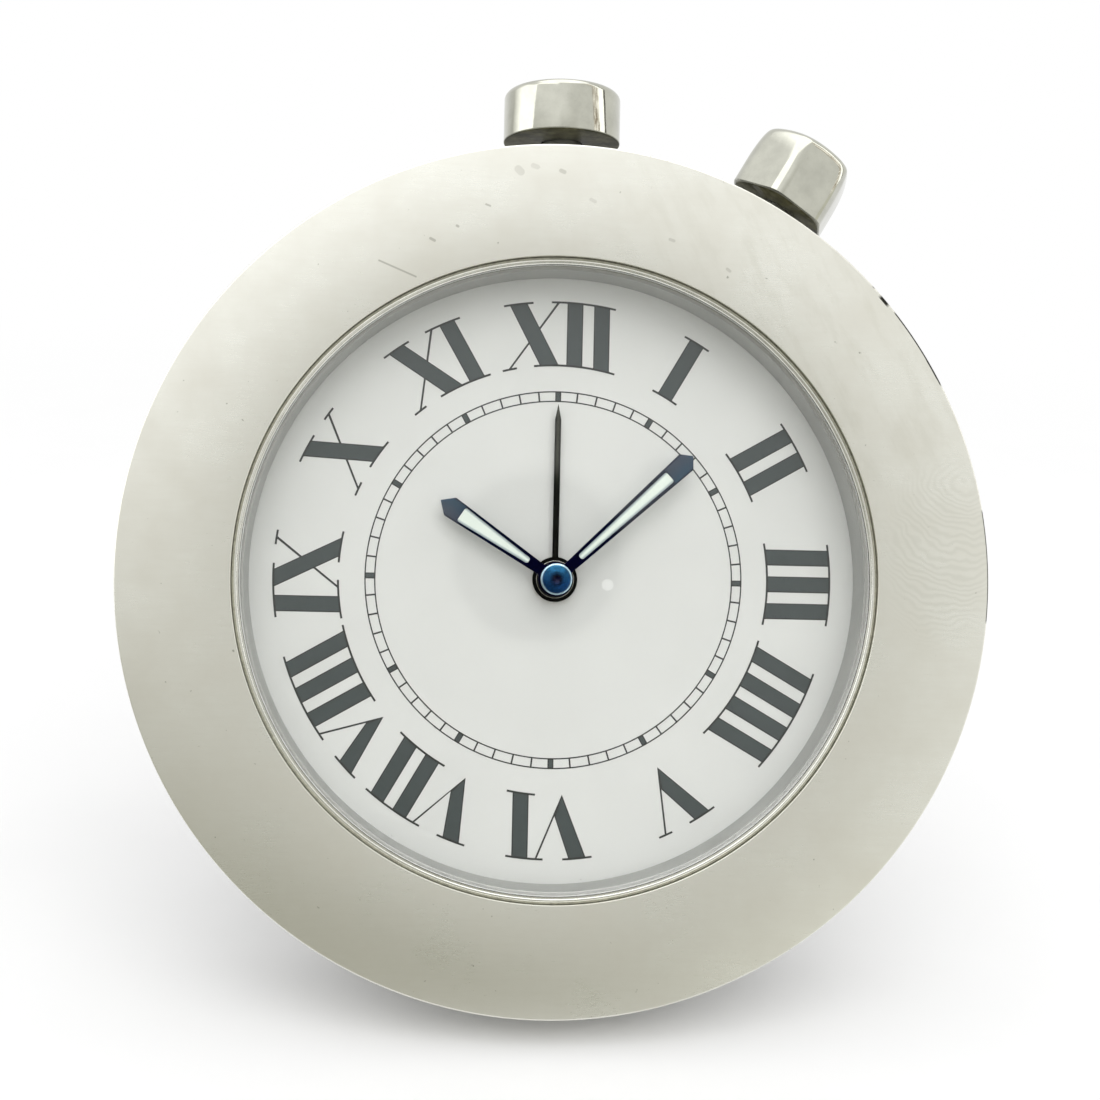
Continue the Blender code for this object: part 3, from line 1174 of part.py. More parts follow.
def make_button(axis):
    cap_ceiling = BUTTON_TOP - BUTTON_CAP_FLOOR
    tube_top = cap_ceiling - BUTTON_TRAVEL - BUTTON_SEAT_GAP
    corner = (BUTTON_RADIUS - BUTTON_EDGE_ROUND, BUTTON_TOP - BUTTON_EDGE_ROUND)
    counterbore = TUBE_RADIUS + 2 * RUNNING_GAP
    stem_socket = BUTTON_STEM_RADIUS + FIT_GAP
    cap = [(0, cap_ceiling + BUTTON_STEM_ENTRY), (stem_socket, cap_ceiling + BUTTON_STEM_ENTRY)]
    cap += [(stem_socket, cap_ceiling), (counterbore, cap_ceiling), (counterbore, BUTTON_BASE)]
    cap += [(BUTTON_RADIUS - SEAM_CHAMFER, BUTTON_BASE), (BUTTON_RADIUS, BUTTON_BASE + SEAM_CHAMFER)]
    cap += arc(corner, BUTTON_EDGE_ROUND, 0, math.radians(90), ROUND_STEPS)
    cap += [(0, BUTTON_TOP)]
    add_part("push_button_cap", turned(cap, MIDDLE_FACETS), "polished_steel", axis)

    tube_floor = TUBE_INNER_END + TUBE_FLOOR
    tube = [
        (BUTTON_STEM_RADIUS + RUNNING_GAP, TUBE_INNER_END),
        (TUBE_RADIUS, TUBE_INNER_END),
        (TUBE_RADIUS, tube_top),
        (TUBE_BORE_RADIUS, tube_top),
        (TUBE_BORE_RADIUS, tube_floor),
        (BUTTON_STEM_RADIUS + RUNNING_GAP, tube_floor),
    ]
    add_part("button_tube", turned(tube, SMALL_FACETS), "brushed_steel", axis)

    clip_top = TUBE_INNER_END - BUTTON_CLIP_GAP
    clip_base = clip_top - BUTTON_CLIP_THICKNESS
    stem_end = clip_base - BUTTON_STEM_TAIL
    stem = rod(BUTTON_STEM_RADIUS, stem_end, cap_ceiling + BUTTON_STEM_ENTRY - FIT_GAP)
    add_part("push_button_stem", turned(stem, SMALL_FACETS), "nickel", axis)
    clip = sleeve(BUTTON_STEM_RADIUS + FIT_GAP, BUTTON_CLIP_RADIUS, clip_base, clip_top)
    add_part("button_clip", turned(clip, SMALL_FACETS), "nickel", axis)

    half = SWITCH_BLADE_WIDTH / 2
    low = blade_height() + FIT_GAP
    blade = prism(
        rectangle(-half, half, -SWITCH_BLADE_HEIGHT / 2, SWITCH_BLADE_HEIGHT / 2),
        low,
        low + SWITCH_BLADE_THICKNESS,
    )
    add_part("button_contact", blade, "brass", axis)
    make_spring(axis, tube_floor + SPRING_WIRE_RADIUS + FIT_GAP, cap_ceiling - SPRING_WIRE_RADIUS - FIT_GAP)


def blade_height():
    """The floor of the button's channel: the blade on it stays clear of the pressed stem."""
    stem_end = TUBE_INNER_END - BUTTON_CLIP_GAP - BUTTON_CLIP_THICKNESS - BUTTON_STEM_TAIL
    return stem_end - BUTTON_TRAVEL - SWITCH_BLADE_GAP - SWITCH_BLADE_THICKNESS


def make_spring(axis, low, high):
    """The return spring, one wire wound about the stem."""
    curve = bpy.data.curves.new("button_spring", "CURVE")
    curve.dimensions = "3D"
    curve.bevel_depth = SPRING_WIRE_RADIUS
    curve.bevel_resolution = 1
    curve.use_fill_caps = True
    wire = curve.splines.new("POLY")
    count = SPRING_TURNS * SPRING_POINTS_PER_TURN
    wire.points.add(count)
    for number in range(count + 1):
        angle = math.radians(360) * number / SPRING_POINTS_PER_TURN
        height = low + (high - low) * number / count
        wire.points[number].co = (
            SPRING_COIL_RADIUS * math.cos(angle),
            SPRING_COIL_RADIUS * math.sin(angle),
            height,
            1.0,
        )
    curve.materials.append(FINISHES["polished_steel"])
    spring = bpy.data.objects.new("button_spring", curve)
    bpy.context.scene.collection.objects.link(spring)
    spring.parent = axis


def yoke_start():
    """How far out along the crown's axis the setting yoke begins."""
    return CROWN_STEM_END + 2 * YOKE_THICKNESS + SLIDING_PINION_LENGTH + YOKE_OFFSET


def make_crown(axis):
    hexagon = rounded_polygon(
        CROWN_SIDES, CROWN_CORNER_RADIUS, CROWN_CORNER_ROUND, math.radians(CROWN_CORNER_TURN_DEGREES)
    )
    crown = add_part("crown", prism(hexagon, CROWN_BASE, CROWN_TOP), "polished_steel", axis)
    shoulder = CROWN_TOP - CROWN_SHOULDER_DROP
    sphere = (CROWN_CORNER_RADIUS**2 + CROWN_SHOULDER_DROP**2) / (2 * CROWN_SHOULDER_DROP)
    sweep = math.asin(CROWN_CORNER_RADIUS / sphere)
    dome = arc((0, CROWN_TOP - sphere), sphere, math.radians(90) - sweep, math.radians(90), 2 * ROUND_STEPS)
    dome[-1] = (0, CROWN_TOP)
    envelope = [
        (0, CROWN_BASE),
        (CROWN_CORNER_RADIUS - CROWN_BASE_CHAMFER, CROWN_BASE),
        (CROWN_CORNER_RADIUS, CROWN_BASE + CROWN_BASE_CHAMFER),
        (CROWN_CORNER_RADIUS, shoulder),
    ]
    envelope += dome[1:]
    combine(crown, add_tool("crown_envelope", turned(envelope, MIDDLE_FACETS), axis), "INTERSECT")
    ceiling = CROWN_BASE + CROWN_COUNTERBORE_DEPTH
    counterbore = CROWN_TUBE_RADIUS + 2 * RUNNING_GAP
    socket = CROWN_STEM_RADIUS + FIT_GAP
    hole = [
        (0, CROWN_BASE - CUT_OVERRUN),
        (counterbore, CROWN_BASE - CUT_OVERRUN),
        (counterbore, ceiling),
        (socket, ceiling),
        (socket, ceiling + CROWN_STEM_ENTRY),
        (0, ceiling + CROWN_STEM_ENTRY),
    ]
    combine(crown, add_tool("crown_counterbore", turned(hole, SMALL_FACETS), axis), "DIFFERENCE")

    stem = rod(CROWN_STEM_RADIUS, CROWN_STEM_END, ceiling + CROWN_STEM_ENTRY - FIT_GAP)
    add_part("crown_stem", turned(stem, SMALL_FACETS), "nickel", axis)
    tube = sleeve(
        CROWN_STEM_RADIUS + RUNNING_GAP, CROWN_TUBE_RADIUS, TUBE_INNER_END, CROWN_BASE + CROWN_TUBE_OVERLAP
    )
    add_part("crown_tube", turned(tube, SMALL_FACETS), "brushed_steel", axis)
    gasket = sleeve(
        CROWN_STEM_RADIUS + FIT_GAP, CROWN_TUBE_RADIUS, ceiling - FIT_GAP - CROWN_GASKET_HEIGHT, ceiling - FIT_GAP
    )
    add_part("crown_gasket", turned(gasket, SMALL_FACETS), "seal_black", axis)

    pinion_low = CROWN_STEM_END + 2 * YOKE_THICKNESS
    teeth = gear_outline(SLIDING_PINION_TEETH, SLIDING_PINION_RADIUS - CROWN_STEM_RADIUS / 4, 0)
    pinion_shape = prism(teeth, pinion_low, pinion_low + SLIDING_PINION_LENGTH)
    pinion = add_part("sliding_pinion", pinion_shape, "nickel", axis)
    bore = rod(CROWN_STEM_RADIUS + FIT_GAP, CROWN_STEM_END, yoke_start())
    combine(pinion, add_tool("sliding_pinion_bore", turned(bore, SMALL_FACETS), axis), "DIFFERENCE")

    half = YOKE_WIDTH / 2
    yoke_outline = rectangle(-half, half, -YOKE_HEIGHT / 2, YOKE_HEIGHT / 2)
    yoke = add_part("setting_yoke", prism(yoke_outline, yoke_start(), yoke_start() + YOKE_THICKNESS),
                    "nickel", axis)
    bore = rod(CROWN_STEM_RADIUS + RUNNING_GAP, CROWN_STEM_END, TUBE_INNER_END)
    combine(yoke, add_tool("setting_yoke_bore", turned(bore, SMALL_FACETS), axis), "DIFFERENCE")


def set_down(base):
    """Moves the whole clock so that the origin is under the middle of its bounding box."""
    bpy.context.view_layer.update()
    graph = bpy.context.evaluated_depsgraph_get()
    places = []
    for part in bpy.context.scene.objects:
        if part.type == "EMPTY" or part.hide_render:
            continue
        evaluated = part.evaluated_get(graph)
        mesh = evaluated.to_mesh()
        places += [evaluated.matrix_world @ vertex.co for vertex in mesh.vertices]
        evaluated.to_mesh_clear()
    low = Vector(min(place[side] for place in places) for side in range(3))
    high = Vector(max(place[side] for place in places) for side in range(3))
    base.location = (-(low.x + high.x) / 2, -(low.y + high.y) / 2, -low.z)


clear_scene()
FINISHES = {name: make_finish(name) for name in COLOURS}

clock_base = add_empty("clock_base")
face_frame = add_empty("face_frame", clock_base, rotation=(math.radians(90) - LEAN, 0, 0))
button_axis = add_empty(
    "button_axis", face_frame, (0, 0, -CONTROL_DEPTH), (math.radians(-90), 0, 0)
)
crown_axis = add_empty(
    "crown_axis", face_frame, (0, 0, -CONTROL_DEPTH), (math.radians(-90), 0, -CROWN_ANGLE)
)
hatch_axis = add_empty("hatch_axis", face_frame, (0, BATTERY_HEIGHT_ABOVE_CENTRE, 0))
stand_hinge = add_empty(
    "stand_hinge", face_frame, (0, -HINGE_DROP, -HINGE_DEPTH), (-LEG_OPENING, 0, 0)
)

make_case(face_frame)
make_crystal_group(face_frame)
make_cover(face_frame)
make_stand(stand_hinge)
make_battery(face_frame)
make_movement_body(face_frame)
make_motor(face_frame)
make_motion_work(face_frame)
make_hands(face_frame)
make_button(button_axis)
make_crown(crown_axis)
set_down(clock_base)
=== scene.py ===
"""Looks of the travel alarm clock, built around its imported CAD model.

Sizes are in metres. The face frame has X to the right, Y towards 12 o'clock and Z towards the
reader, with Z zero on the bezel's front face. A depth is a distance behind that face.
"""

import json
import math
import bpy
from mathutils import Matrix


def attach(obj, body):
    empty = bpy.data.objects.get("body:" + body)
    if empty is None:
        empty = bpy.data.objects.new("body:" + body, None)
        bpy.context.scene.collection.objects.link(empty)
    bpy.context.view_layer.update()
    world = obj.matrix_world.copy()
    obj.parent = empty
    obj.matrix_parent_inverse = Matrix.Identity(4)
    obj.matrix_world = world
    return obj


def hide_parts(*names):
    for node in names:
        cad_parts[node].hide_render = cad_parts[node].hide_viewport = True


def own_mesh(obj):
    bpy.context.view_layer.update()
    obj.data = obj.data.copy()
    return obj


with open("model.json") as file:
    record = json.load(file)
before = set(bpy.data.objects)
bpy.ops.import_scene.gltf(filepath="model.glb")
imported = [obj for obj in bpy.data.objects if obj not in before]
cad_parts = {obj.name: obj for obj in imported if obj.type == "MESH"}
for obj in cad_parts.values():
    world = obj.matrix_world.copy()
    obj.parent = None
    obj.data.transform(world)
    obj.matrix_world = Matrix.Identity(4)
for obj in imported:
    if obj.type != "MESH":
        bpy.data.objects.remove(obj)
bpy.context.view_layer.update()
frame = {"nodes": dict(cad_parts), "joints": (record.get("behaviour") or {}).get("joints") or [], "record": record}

from types import SimpleNamespace

import bmesh
import bpy
from mathutils import Euler, Matrix, Vector

MM = 0.001

# Camera, in the face frame
CAMERA_PLACE = (-8.15 * MM, -1.56 * MM, 116.7 * MM)
CAMERA_TURN_DEGREES = (1.708, -3.703, 1.223)
CAMERA_LENS = 52.49
SENSOR_WIDTH = 36.0
CAMERA_CLIP = (0.001, 20.0)

# Shapes
LATHE_STEPS = 240
SMALL_LATHE_STEPS = 96
FILLET_STEPS = 6
SHARP_DEGREES = 32.0
CUT_OVERRUN = 0.5 * MM
TOUCH = 0.01 * MM

# Case
EDGE_ROUND = 0.35 * MM
BEZEL_EDGE_ROUND = 0.14 * MM
BEZEL_INNER_ROUND = 0.04 * MM
SEAM_ROUND = 0.12 * MM
REAR_ROUND = 0.6 * MM
TUBE_BORE_OVERRUN = 2 * MM

# Marks on the bezel, in millimetres: scratches as start, end, half width and strength,
# and painted shade along the front rim as two angles and a width
SCRATCHES = (
    ((-13.6, 22.9), (-10.9, 21.8), 0.03, 0.55),
    ((-9.9, 24.65), (-9.6, 24.5), 0.07, 0.5),
    ((-8.0, 25.65), (-7.9, 25.6), 0.06, 0.5),
    ((-0.45, 30.0), (-0.2, 29.9), 0.12, 0.35),
    ((-3.6, 30.0), (-3.4, 29.8), 0.25, 0.22),
    ((-2.5, 30.3), (-2.2, 30.2), 0.15, 0.2),
    ((1.8, 27.95), (2.1, 27.8), 0.10, 0.2),
    ((7.7, 25.2), (8.0, 25.1), 0.08, 0.3),
    ((12.0, 23.15), (12.2, 23.0), 0.08, 0.3),
    ((-5.9, 27.3), (-5.6, 27.2), 0.04, 0.5),
)
SCRATCH_SOFTNESS = 0.06
RIM_SHADE_LINES = (
    (45.7, 46.4, 0.10),
    (47.3, 49.4, 0.26),
    (50.2, 62.2, 0.12),
    (57.8, 61.3, 0.14),
    (79.4, 94.8, 0.09),
)
RIM_SHADE_END_DEGREES = 0.5
RIM_SHADE_DEPTHS = (-0.20, -0.14)
RIM_SHADE_EDGE = (-0.04, 0.01)
WORN_ACROSS = (-2.0, 14.0)
WORN_UP = (2.0, 12.0)
FINGERPRINT_CENTRE = (30.0, 8.0)
RIDGE_PITCH = 0.48
RIDGE_FADE_OFFSET = (1.5, 5.5, 0)
RIDGE_FADE_STRETCH = (0.19, 0.12, 0)

# Rings between bezel and dial
RETAINER_ROUND = 0.10 * MM
RETAINER_LIP_WIDTH = 0.14 * MM
RETAINER_SHELF = 0.11 * MM
RETAINER_SINK = 0.08 * MM
GASKET_RISE = 0.24 * MM
GASKET_ROUND = 0.05 * MM
CRYSTAL_EDGE = 0.08 * MM
FLANGE_ROUND = 0.07 * MM
FLANGE_LIP_SHARES = (1.2, 0.6)

# Marks on the dial, in millimetres: painted shade around the hub, and dirt low down by the wall
HUB_SHADE_CENTRE = (-1.4, 1.6, 0)
HUB_SHADE_RADII = (5.8, 6.7)
DIRT_RADII = (22.3, 22.9)
DIRT_HEIGHTS = (-8.0, -16.0)

# Dial print: radii of the numerals' serifs, and stroke sizes
NUMERAL_TOP = 21.12 * MM
NUMERAL_BOTTOM = 16.30 * MM
SERIF_THICKNESS = 0.155 * MM
SERIF_OVERHANG = 0.47 * MM
THIN_SERIF_HALF = 0.55 * MM
BAR_WIDTH = 1.22 * MM
BAR_PITCH = 2.05 * MM
BAR_TO_X = 1.82 * MM
LETTER_TO_BAR = 4.40 * MM
X_TOP_WIDTH = 1.33 * MM
X_FOOT_START = 2.40 * MM
X_WIDTH = 3.83 * MM
X_THIN_TOP = 3.75 * MM
X_THIN_FOOT = 0.07 * MM
X_THIN_HALF = 0.10 * MM
V_TOP_WIDTH = 1.30 * MM
V_THIN_TOP = 3.80 * MM
V_THIN_HALF = 0.075 * MM
V_WIDTH = 3.80 * MM
V_FOOT = 16.23 * MM
FILL_INSET = 0.085 * MM
PRINT_STEP = 0.006 * MM
TRACK_OUTER = 14.28 * MM
TRACK_INNER = 13.55 * MM
TRACK_LINE = 0.10 * MM
TICK_WIDTH = 0.125 * MM
BLOCK_WIDTH = 0.45 * MM
TICKS = 60
HOURS = 12
NUMERALS = ("XII", "I", "II", "III", "IIII", "V", "VI", "VII", "VIII", "IX", "X", "XI")

# Foot of each V's vertex, and the notch between its strokes, from its left side
V_FEET = {
    "V": (1.90 * MM, 2.43 * MM, 17.87 * MM),
    "VI": (1.90 * MM, 2.43 * MM, 17.87 * MM),
    "VII": (2.12 * MM, 2.55 * MM, 17.68 * MM),
    "VIII": (2.60 * MM, 2.83 * MM, 17.60 * MM),
}
NUMERAL_SHIFTS = {"VII": -0.295 * MM, "VIII": -0.59 * MM}

# Sword hands: widths at the hub, at the window's end and at the shoulder, and the window's two widths
MINUTE_HAND = SimpleNamespace(
    name="minute",
    hub_width=0.84 * MM,
    waist_width=1.48 * MM,
    width=1.58 * MM,
    shoulder=13.20 * MM,
    lume_end=11.56 * MM,
    lume_widths=(0.47 * MM, 0.95 * MM),
    blued="blued_steel",
    lume="lume",
)
HOUR_HAND = SimpleNamespace(
    name="hour",
    hub_width=0.86 * MM,
    waist_width=1.53 * MM,
    width=1.60 * MM,
    shoulder=9.60 * MM,
    lume_end=8.59 * MM,
    lume_widths=(0.46 * MM, 1.21 * MM),
    blued="short_blued_steel",
    lume="short_lume",
)
HOUR_HUB_RADIUS = 1.30 * MM
HAND_BEVEL = 0.05 * MM
# Painted reflection and shade on the blued hands: where the tip tone fades in, which side of the tip is lighter,
# and the shaded edges
BLUED_START = 2.5
BLUED_TIP_FADE = (-0.25, 0.15)
BLUED_TIP_SIDES = (-0.5, 0.5)
BLUED_SHADED_EDGE = (-0.20, -0.10)
LUME_START = 2.42 * MM
LUME_SINK = 0.07 * MM
LUME_GAP = 0.01 * MM
LUME_CORNER = 0.18 * MM
LUME_HUB_ROUND_SHARE = 0.8
LUME_SHADE_WIDTH = 0.24 * MM
ALARM_WIDTH = 0.46 * MM
ALARM_POINT = 1.2 * MM
ALARM_SHEEN_SIDES = (0.05, 0.15)
ALARM_SHEEN_RADII = (6.8, 8.8)
COLLAR_INNER = 1.37 * MM
COLLAR_OUTER = 1.42 * MM
COLLAR_RISE = 0.22 * MM
SEAT_INNER = 0.9 * MM
SEAT_RISE = 0.19 * MM
SEAT_THICKNESS = 0.07 * MM
CAP_RIM = 0.16 * MM
CAP_DOME = 0.22 * MM
CAP_DOME_POWER = 0.8
CAP_DIMPLE_RADIUS = 0.36 * MM
CAP_DIMPLE_DEPTH = 0.12 * MM
CAP_SHADE_RADII = (0.25, 0.60)
CAP_HIGHLIGHT_RADII = (1.02, 1.10)
CAP_LIGHT_HEIGHTS = (-0.4, 0.9)

# Button and crown
BUTTON_ROUND = 0.55 * MM
BUTTON_BASE_ROUND = 0.12 * MM
TUBE_ROUND = 0.1 * MM
SPRING_TURNS = 7
SPRING_STEPS = 32
SPRING_SIDES = 10
CROWN_SIDES = 6
CROWN_TURN_DEGREES = 17.0
CROWN_CORNER_ROUND = 1.35 * MM
CROWN_BLEND = 0.55 * MM
CROWN_DOME_HEIGHT = 2.3 * MM
CROWN_DOME_POWER = 2.7
CROWN_DOME_SPACING = 1.2
CROWN_BASE_CHAMFER = 0.12 * MM
CROWN_PILLOW_START = 2.0 * MM
CROWN_PILLOW = 0.008 / MM**2
CROWN_STEPS_AROUND = 192
CROWN_STEPS_UP = 22
GRIME_AND_SHADE_HEIGHTS = (0.02, 0.14)

# Back
COVER_EDGE = 0.12 * MM
RECESS_SIDE_GAP = 0.25 * MM
RECESS_TOP_GAP = 1.3 * MM
RECESS_DROP = 1.62 * MM
RECESS_WALL = 0.9 * MM
RECESS_FLOOR = 0.8 * MM
RECESS_ROUND = 0.15 * MM
LEG_EDGE = 0.18 * MM
HATCH_EDGE = 0.15 * MM
HATCH_GAP = 0.05 * MM
HATCH_STEP = 0.5 * MM
HATCH_FLANGE = 0.82 * MM
HATCH_SLOT = (4.0 * MM, 0.55 * MM, 0.4 * MM)
HATCH_SLOT_DEPTH = 0.5 * MM
SCREWS = 4
SCREW_EDGE = 0.08 * MM
SCREW_GAP = 0.06 * MM
SCREW_HEAD = 0.72 * MM
SCREW_SHANK = 0.45 * MM
SCREW_TURN_DEGREES = 47
SCREW_SLOT_HALF = 0.125 * MM
SCREW_SLOT_DEPTH = 0.3 * MM

# Bumps on the surfaces, and the pitch of the coil's wire in millimetres
FINE_BUMP = 0.002 * MM
BRUSHED_BUMP = 0.003 * MM
MATT_BUMP = 0.004 * MM
RUBBER_BUMP = 0.005 * MM
POLISHED_BUMP = 0.01 * MM
CONTROL_BUMP = 0.012 * MM
LUME_BUMP = 0.02 * MM
WIRE_PITCH = 0.09

# The room as light, and as polished metal sees it. A turn is an angle to the right of the front, a tilt
# an angle above the floor, both in degrees; four of them are where a patch starts, is full, and ends.
ROOM_LIGHT = (0.98, 0.98, 0.98, 1.0)
ROOM_DARK = (0.225, 0.22, 0.155, 1.0)
ROOM_BRIGHT = (1.15, 1.15, 1.12, 1.0)
ROOM_BEHIND = (0.95, 0.95, 0.94, 1.0)
ROOM_PANEL = (2.1, 2.1, 2.05, 1.0)
GLAZED_LIGHT = (1.5, 1.5, 1.5, 1.0)
ROOM_TILTS = (3.0, 36.0)
ROOM_RIGHT_TILTS = (20.0, 36.0)
ROOM_RIGHT_TURNS = (-2.0, 20.0)
ROOM_RIGHT_LEVEL = 0.57
ROOM_RIGHT_TOP = 0.82
ROOM_FAR_RIGHT_TURNS = (24.0, 36.0)
ROOM_FAR_RIGHT_LEVEL = 0.78
ROOM_LEFT_TURNS = (-2.0, -14.0)
ROOM_LEFT_RISE = 0.18
ROOM_BEHIND_TURNS = (95.0, 150.0)
MOTTLE_TURNS = (65.0, 67.0, 80.0, 81.0)
PANEL_TURNS = (-120.0, -98.0, -67.0, -65.0)
PANEL_TILTS = (42.0, 38.0)
STRIP_TURNS = (79.5, 80.5, 91.8, 92.8)
WINDOW_TURNS = (-80.0, -74.0, -20.0, -12.0)
WINDOW_TILTS = (42.0, 46.0)
OVERHEAD_TILTS = (55.0, 61.0)
DARK_EDGE_TURNS = (92.8, 93.3, 96.5, 97.0)
DARK_EDGE_TILTS = (50.0, 45.0)
LENS_PLACE = (6.75, 3.2, 117.2)
LENS_SIZE = 3.1
GLINT_PLACE = (11.8, 1.2, 117.2)
GLINT_SIZE = 0.2
SPOT_SOFTNESS = 0.15

# Floor and lamp, with the floor's fade and the tone in which metal sees its front part in millimetres
FLOOR_HALF = 3.0
FLOOR_FADE = (100.0, 350.0)
FRONT_SHADE = (0.34, 0.335, 0.26, 1.0)
FRONT_SHADE_RIGHT = (0.84, 0.835, 0.74, 1.0)
FRONT_SHADE_ACROSS = (5.0, 55.0)
FRONT_SHADE_DEPTHS = (-10.0, -60.0)
LAMP_PLACE = (0.05, -0.30, 0.50)
LAMP_TARGET = (0, 0, 0.035)
LAMP_SIZE = 0.45
LAMP_POWER = 0.86


def joint_named(name):
    return next(joint for joint in frame["joints"] if joint["name"] == name)


def node_points(name, matrix):
    """A CAD node's corners in the frame of that matrix."""
    back = matrix.inverted()
    return [back @ vertex.co for vertex in frame["nodes"][name].data.vertices]


def find_face_frame():
    """The face frame: its Z runs against the hands' axis and its origin is on the bezel's front."""
    joint = joint_named("minute_hand_turn")
    rearward = Vector(joint["axis"]).normalized()
    pivot = Vector(joint["pos_m"])
    right = Vector((1, 0, 0))
    up = right.cross(rearward)
    front = min(vertex.co.dot(rearward) for vertex in frame["nodes"]["bezel"].data.vertices)
    origin = pivot + rearward * (front - pivot.dot(rearward))
    axes = Matrix((right, up, -rearward)).transposed().to_4x4()
    return Matrix.Translation(origin) @ axes


FACE = find_face_frame()


def least_and_greatest(values):
    values = list(values)
    return min(values), max(values)


def depths(name):
    """A node's least and greatest depth."""
    return least_and_greatest(-point.z for point in node_points(name, FACE))


def radii(name, matrix=FACE):
    """A node's least and greatest distance from the Z axis of that frame."""
    return least_and_greatest(math.hypot(point.x, point.y) for point in node_points(name, matrix))


def heights(name, matrix):
    """A node's lowest and highest Z in that frame."""
    return least_and_greatest(point.z for point in node_points(name, matrix))


def spans(name, matrix=FACE):
    """A node's lowest and highest corner in that frame."""
    points = node_points(name, matrix)
    low = Vector(min(point[side] for point in points) for side in range(3))
    high = Vector(max(point[side] for point in points) for side in range(3))
    return low, high


def control_frame(turn):
    """A frame whose Z points out of the case at that angle from 12 o'clock, at the controls' depth."""
    pivot = FACE.inverted() @ Vector(joint_named("crown_turn")["pos_m"])
    return (
        FACE
        @ Matrix.Translation((0, 0, pivot.z))
        @ Matrix.Rotation(-turn, 4, "Z")
        @ Matrix.Rotation(-math.radians(90), 4, "X")
    )


BUTTON_FRAME = control_frame(0)
CROWN_OUT = FACE.inverted().to_3x3() @ Vector(joint_named("crown_turn")["axis"])
CROWN_FRAME = control_frame(math.atan2(CROWN_OUT.x, CROWN_OUT.y))
HINGE_JOINT = joint_named("stand_fold")
LEG_FRAME = (
    Matrix.Translation(Vector(HINGE_JOINT["pos_m"]))
    @ FACE.to_3x3().to_4x4()
    @ Matrix.Rotation(-math.radians(HINGE_JOINT["range_deg"][1]), 4, "X")
)
HATCH_FRAME = FACE @ Matrix.Translation((0, sum(point.y for point in spans("battery_hatch")) / 2, 0))


# Shapes


def polar_point(radius, angle):
    return radius * math.cos(angle), radius * math.sin(angle)


def circle(radius, steps, centre=(0, 0)):
    places = (polar_point(radius, math.radians(360) * step / steps) for step in range(steps))
    return [(x + centre[0], y + centre[1]) for x, y in places]


def fillet(corners):
    """Points of a closed outline, where a corner (x, y, radius) is rounded by its radius."""
    points = []
    for index, corner in enumerate(corners):
        if len(corner) == 2:
            points.append(corner)
            continue
        here, radius = Vector(corner[:2]), corner[2]
        before = (Vector(corners[index - 1][:2]) - here).normalized()
        after = (Vector(corners[(index + 1) % len(corners)][:2]) - here).normalized()
        half = before.angle(after) / 2
        centre = here + (before + after).normalized() * radius / math.sin(half)
        start = here + before * radius / math.tan(half) - centre
        sweep = start.angle_signed(here + after * radius / math.tan(half) - centre)
        for step in range(FILLET_STEPS + 1):
            place = centre + Matrix.Rotation(-sweep * step / FILLET_STEPS, 2) @ start
            points.append((place.x, place.y))
    return points


def rectangle(left, right, bottom, top, *radius):
    corners = [(left, bottom), (right, bottom), (right, top), (left, top)]
    return fillet([(*corner, *radius) for corner in corners])


def join_rings(shape, first, second):
    """Faces between two rings of corners, either of which can be a single corner."""
    count = max(len(first), len(second))
    if count == 1:
        return
    for step in range(count):
        following = (step + 1) % count
        corners = [first[step % len(first)]]
        if len(first) > 1:
            corners.append(first[following])
        if len(second) > 1:
            corners.append(second[following])
        corners.append(second[step % len(second)])
        shape.faces.new(corners)


def lathe_shape(outline, steps):
    """A closed (radius, height) outline turned about Z. Points on the axis become single corners."""
    shape = bmesh.new()
    rings = []
    for radius, height in outline:
        places = circle(radius, steps) if radius else [(0, 0)]
        rings.append([shape.verts.new((x, y, height)) for x, y in places])
    for index, ring in enumerate(rings):
        join_rings(shape, ring, rings[(index + 1) % len(rings)])
    bmesh.ops.recalc_face_normals(shape, faces=shape.faces[:])
    return shape


def slab_shape(outline, low, high, along="z"):
    """A flat outline extruded along z, or along x where its points are (y, z) pairs."""
    shape = bmesh.new()
    layers = []
    for level in (low, high):
        places = [(*place, level) if along == "z" else (level, *place) for place in outline]
        layers.append([shape.verts.new(place) for place in places])
    shape.faces.new(layers[0])
    shape.faces.new(layers[1])
    join_rings(shape, *layers)
    bmesh.ops.recalc_face_normals(shape, faces=shape.faces[:])
    return shape


def new_object(name, shape, matrix=Matrix()):
    """An object of that shape, smooth but for its sharp edges."""
    mesh = bpy.data.meshes.new(name)
    shape.to_mesh(mesh)
    shape.free()
    mesh.shade_smooth()
    mesh.set_sharp_from_angle(angle=math.radians(SHARP_DEGREES))
    item = bpy.data.objects.new(name, mesh)
    bpy.context.scene.collection.objects.link(item)
    item.matrix_world = matrix
    return item


def add_piece(name, shape, material, replaced=(), matrix=FACE, body="clock"):
    """A piece in place, riding on its body and standing for the CAD nodes that it replaces."""
    piece = new_object(name, shape, matrix)
    piece.data.materials.append(MATERIALS[material])
    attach(piece, body)
    if replaced:
        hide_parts(*replaced)
    return piece


def turned_piece(name, corners, material, slot, replaced=(), matrix=FACE, body="clock", steps=LATHE_STEPS):
    """A piece turned about Z from an outline with rounded corners."""
    return add_piece(name, lathe_shape(fillet(corners), steps), material, replaced, matrix, body)


def carve(piece, shapes, operation="DIFFERENCE"):
    """Cuts the shapes, given in the piece's own frame, out of the piece, or joins them to it."""
    tools = []
    for number, shape in enumerate(shapes):
        tool = new_object(f"tool_{number}", shape, piece.matrix_world)
        change = piece.modifiers.new(tool.name, "BOOLEAN")
        change.operation = operation
        change.solver = "EXACT"
        change.object = tool
        tools.append(tool)
    bpy.context.view_layer.update()
    graph = bpy.context.evaluated_depsgraph_get()
    result = bpy.data.meshes.new_from_object(piece.evaluated_get(graph), depsgraph=graph)
    piece.modifiers.clear()
    piece.data = result
    for tool in tools:
        bpy.data.objects.remove(tool)


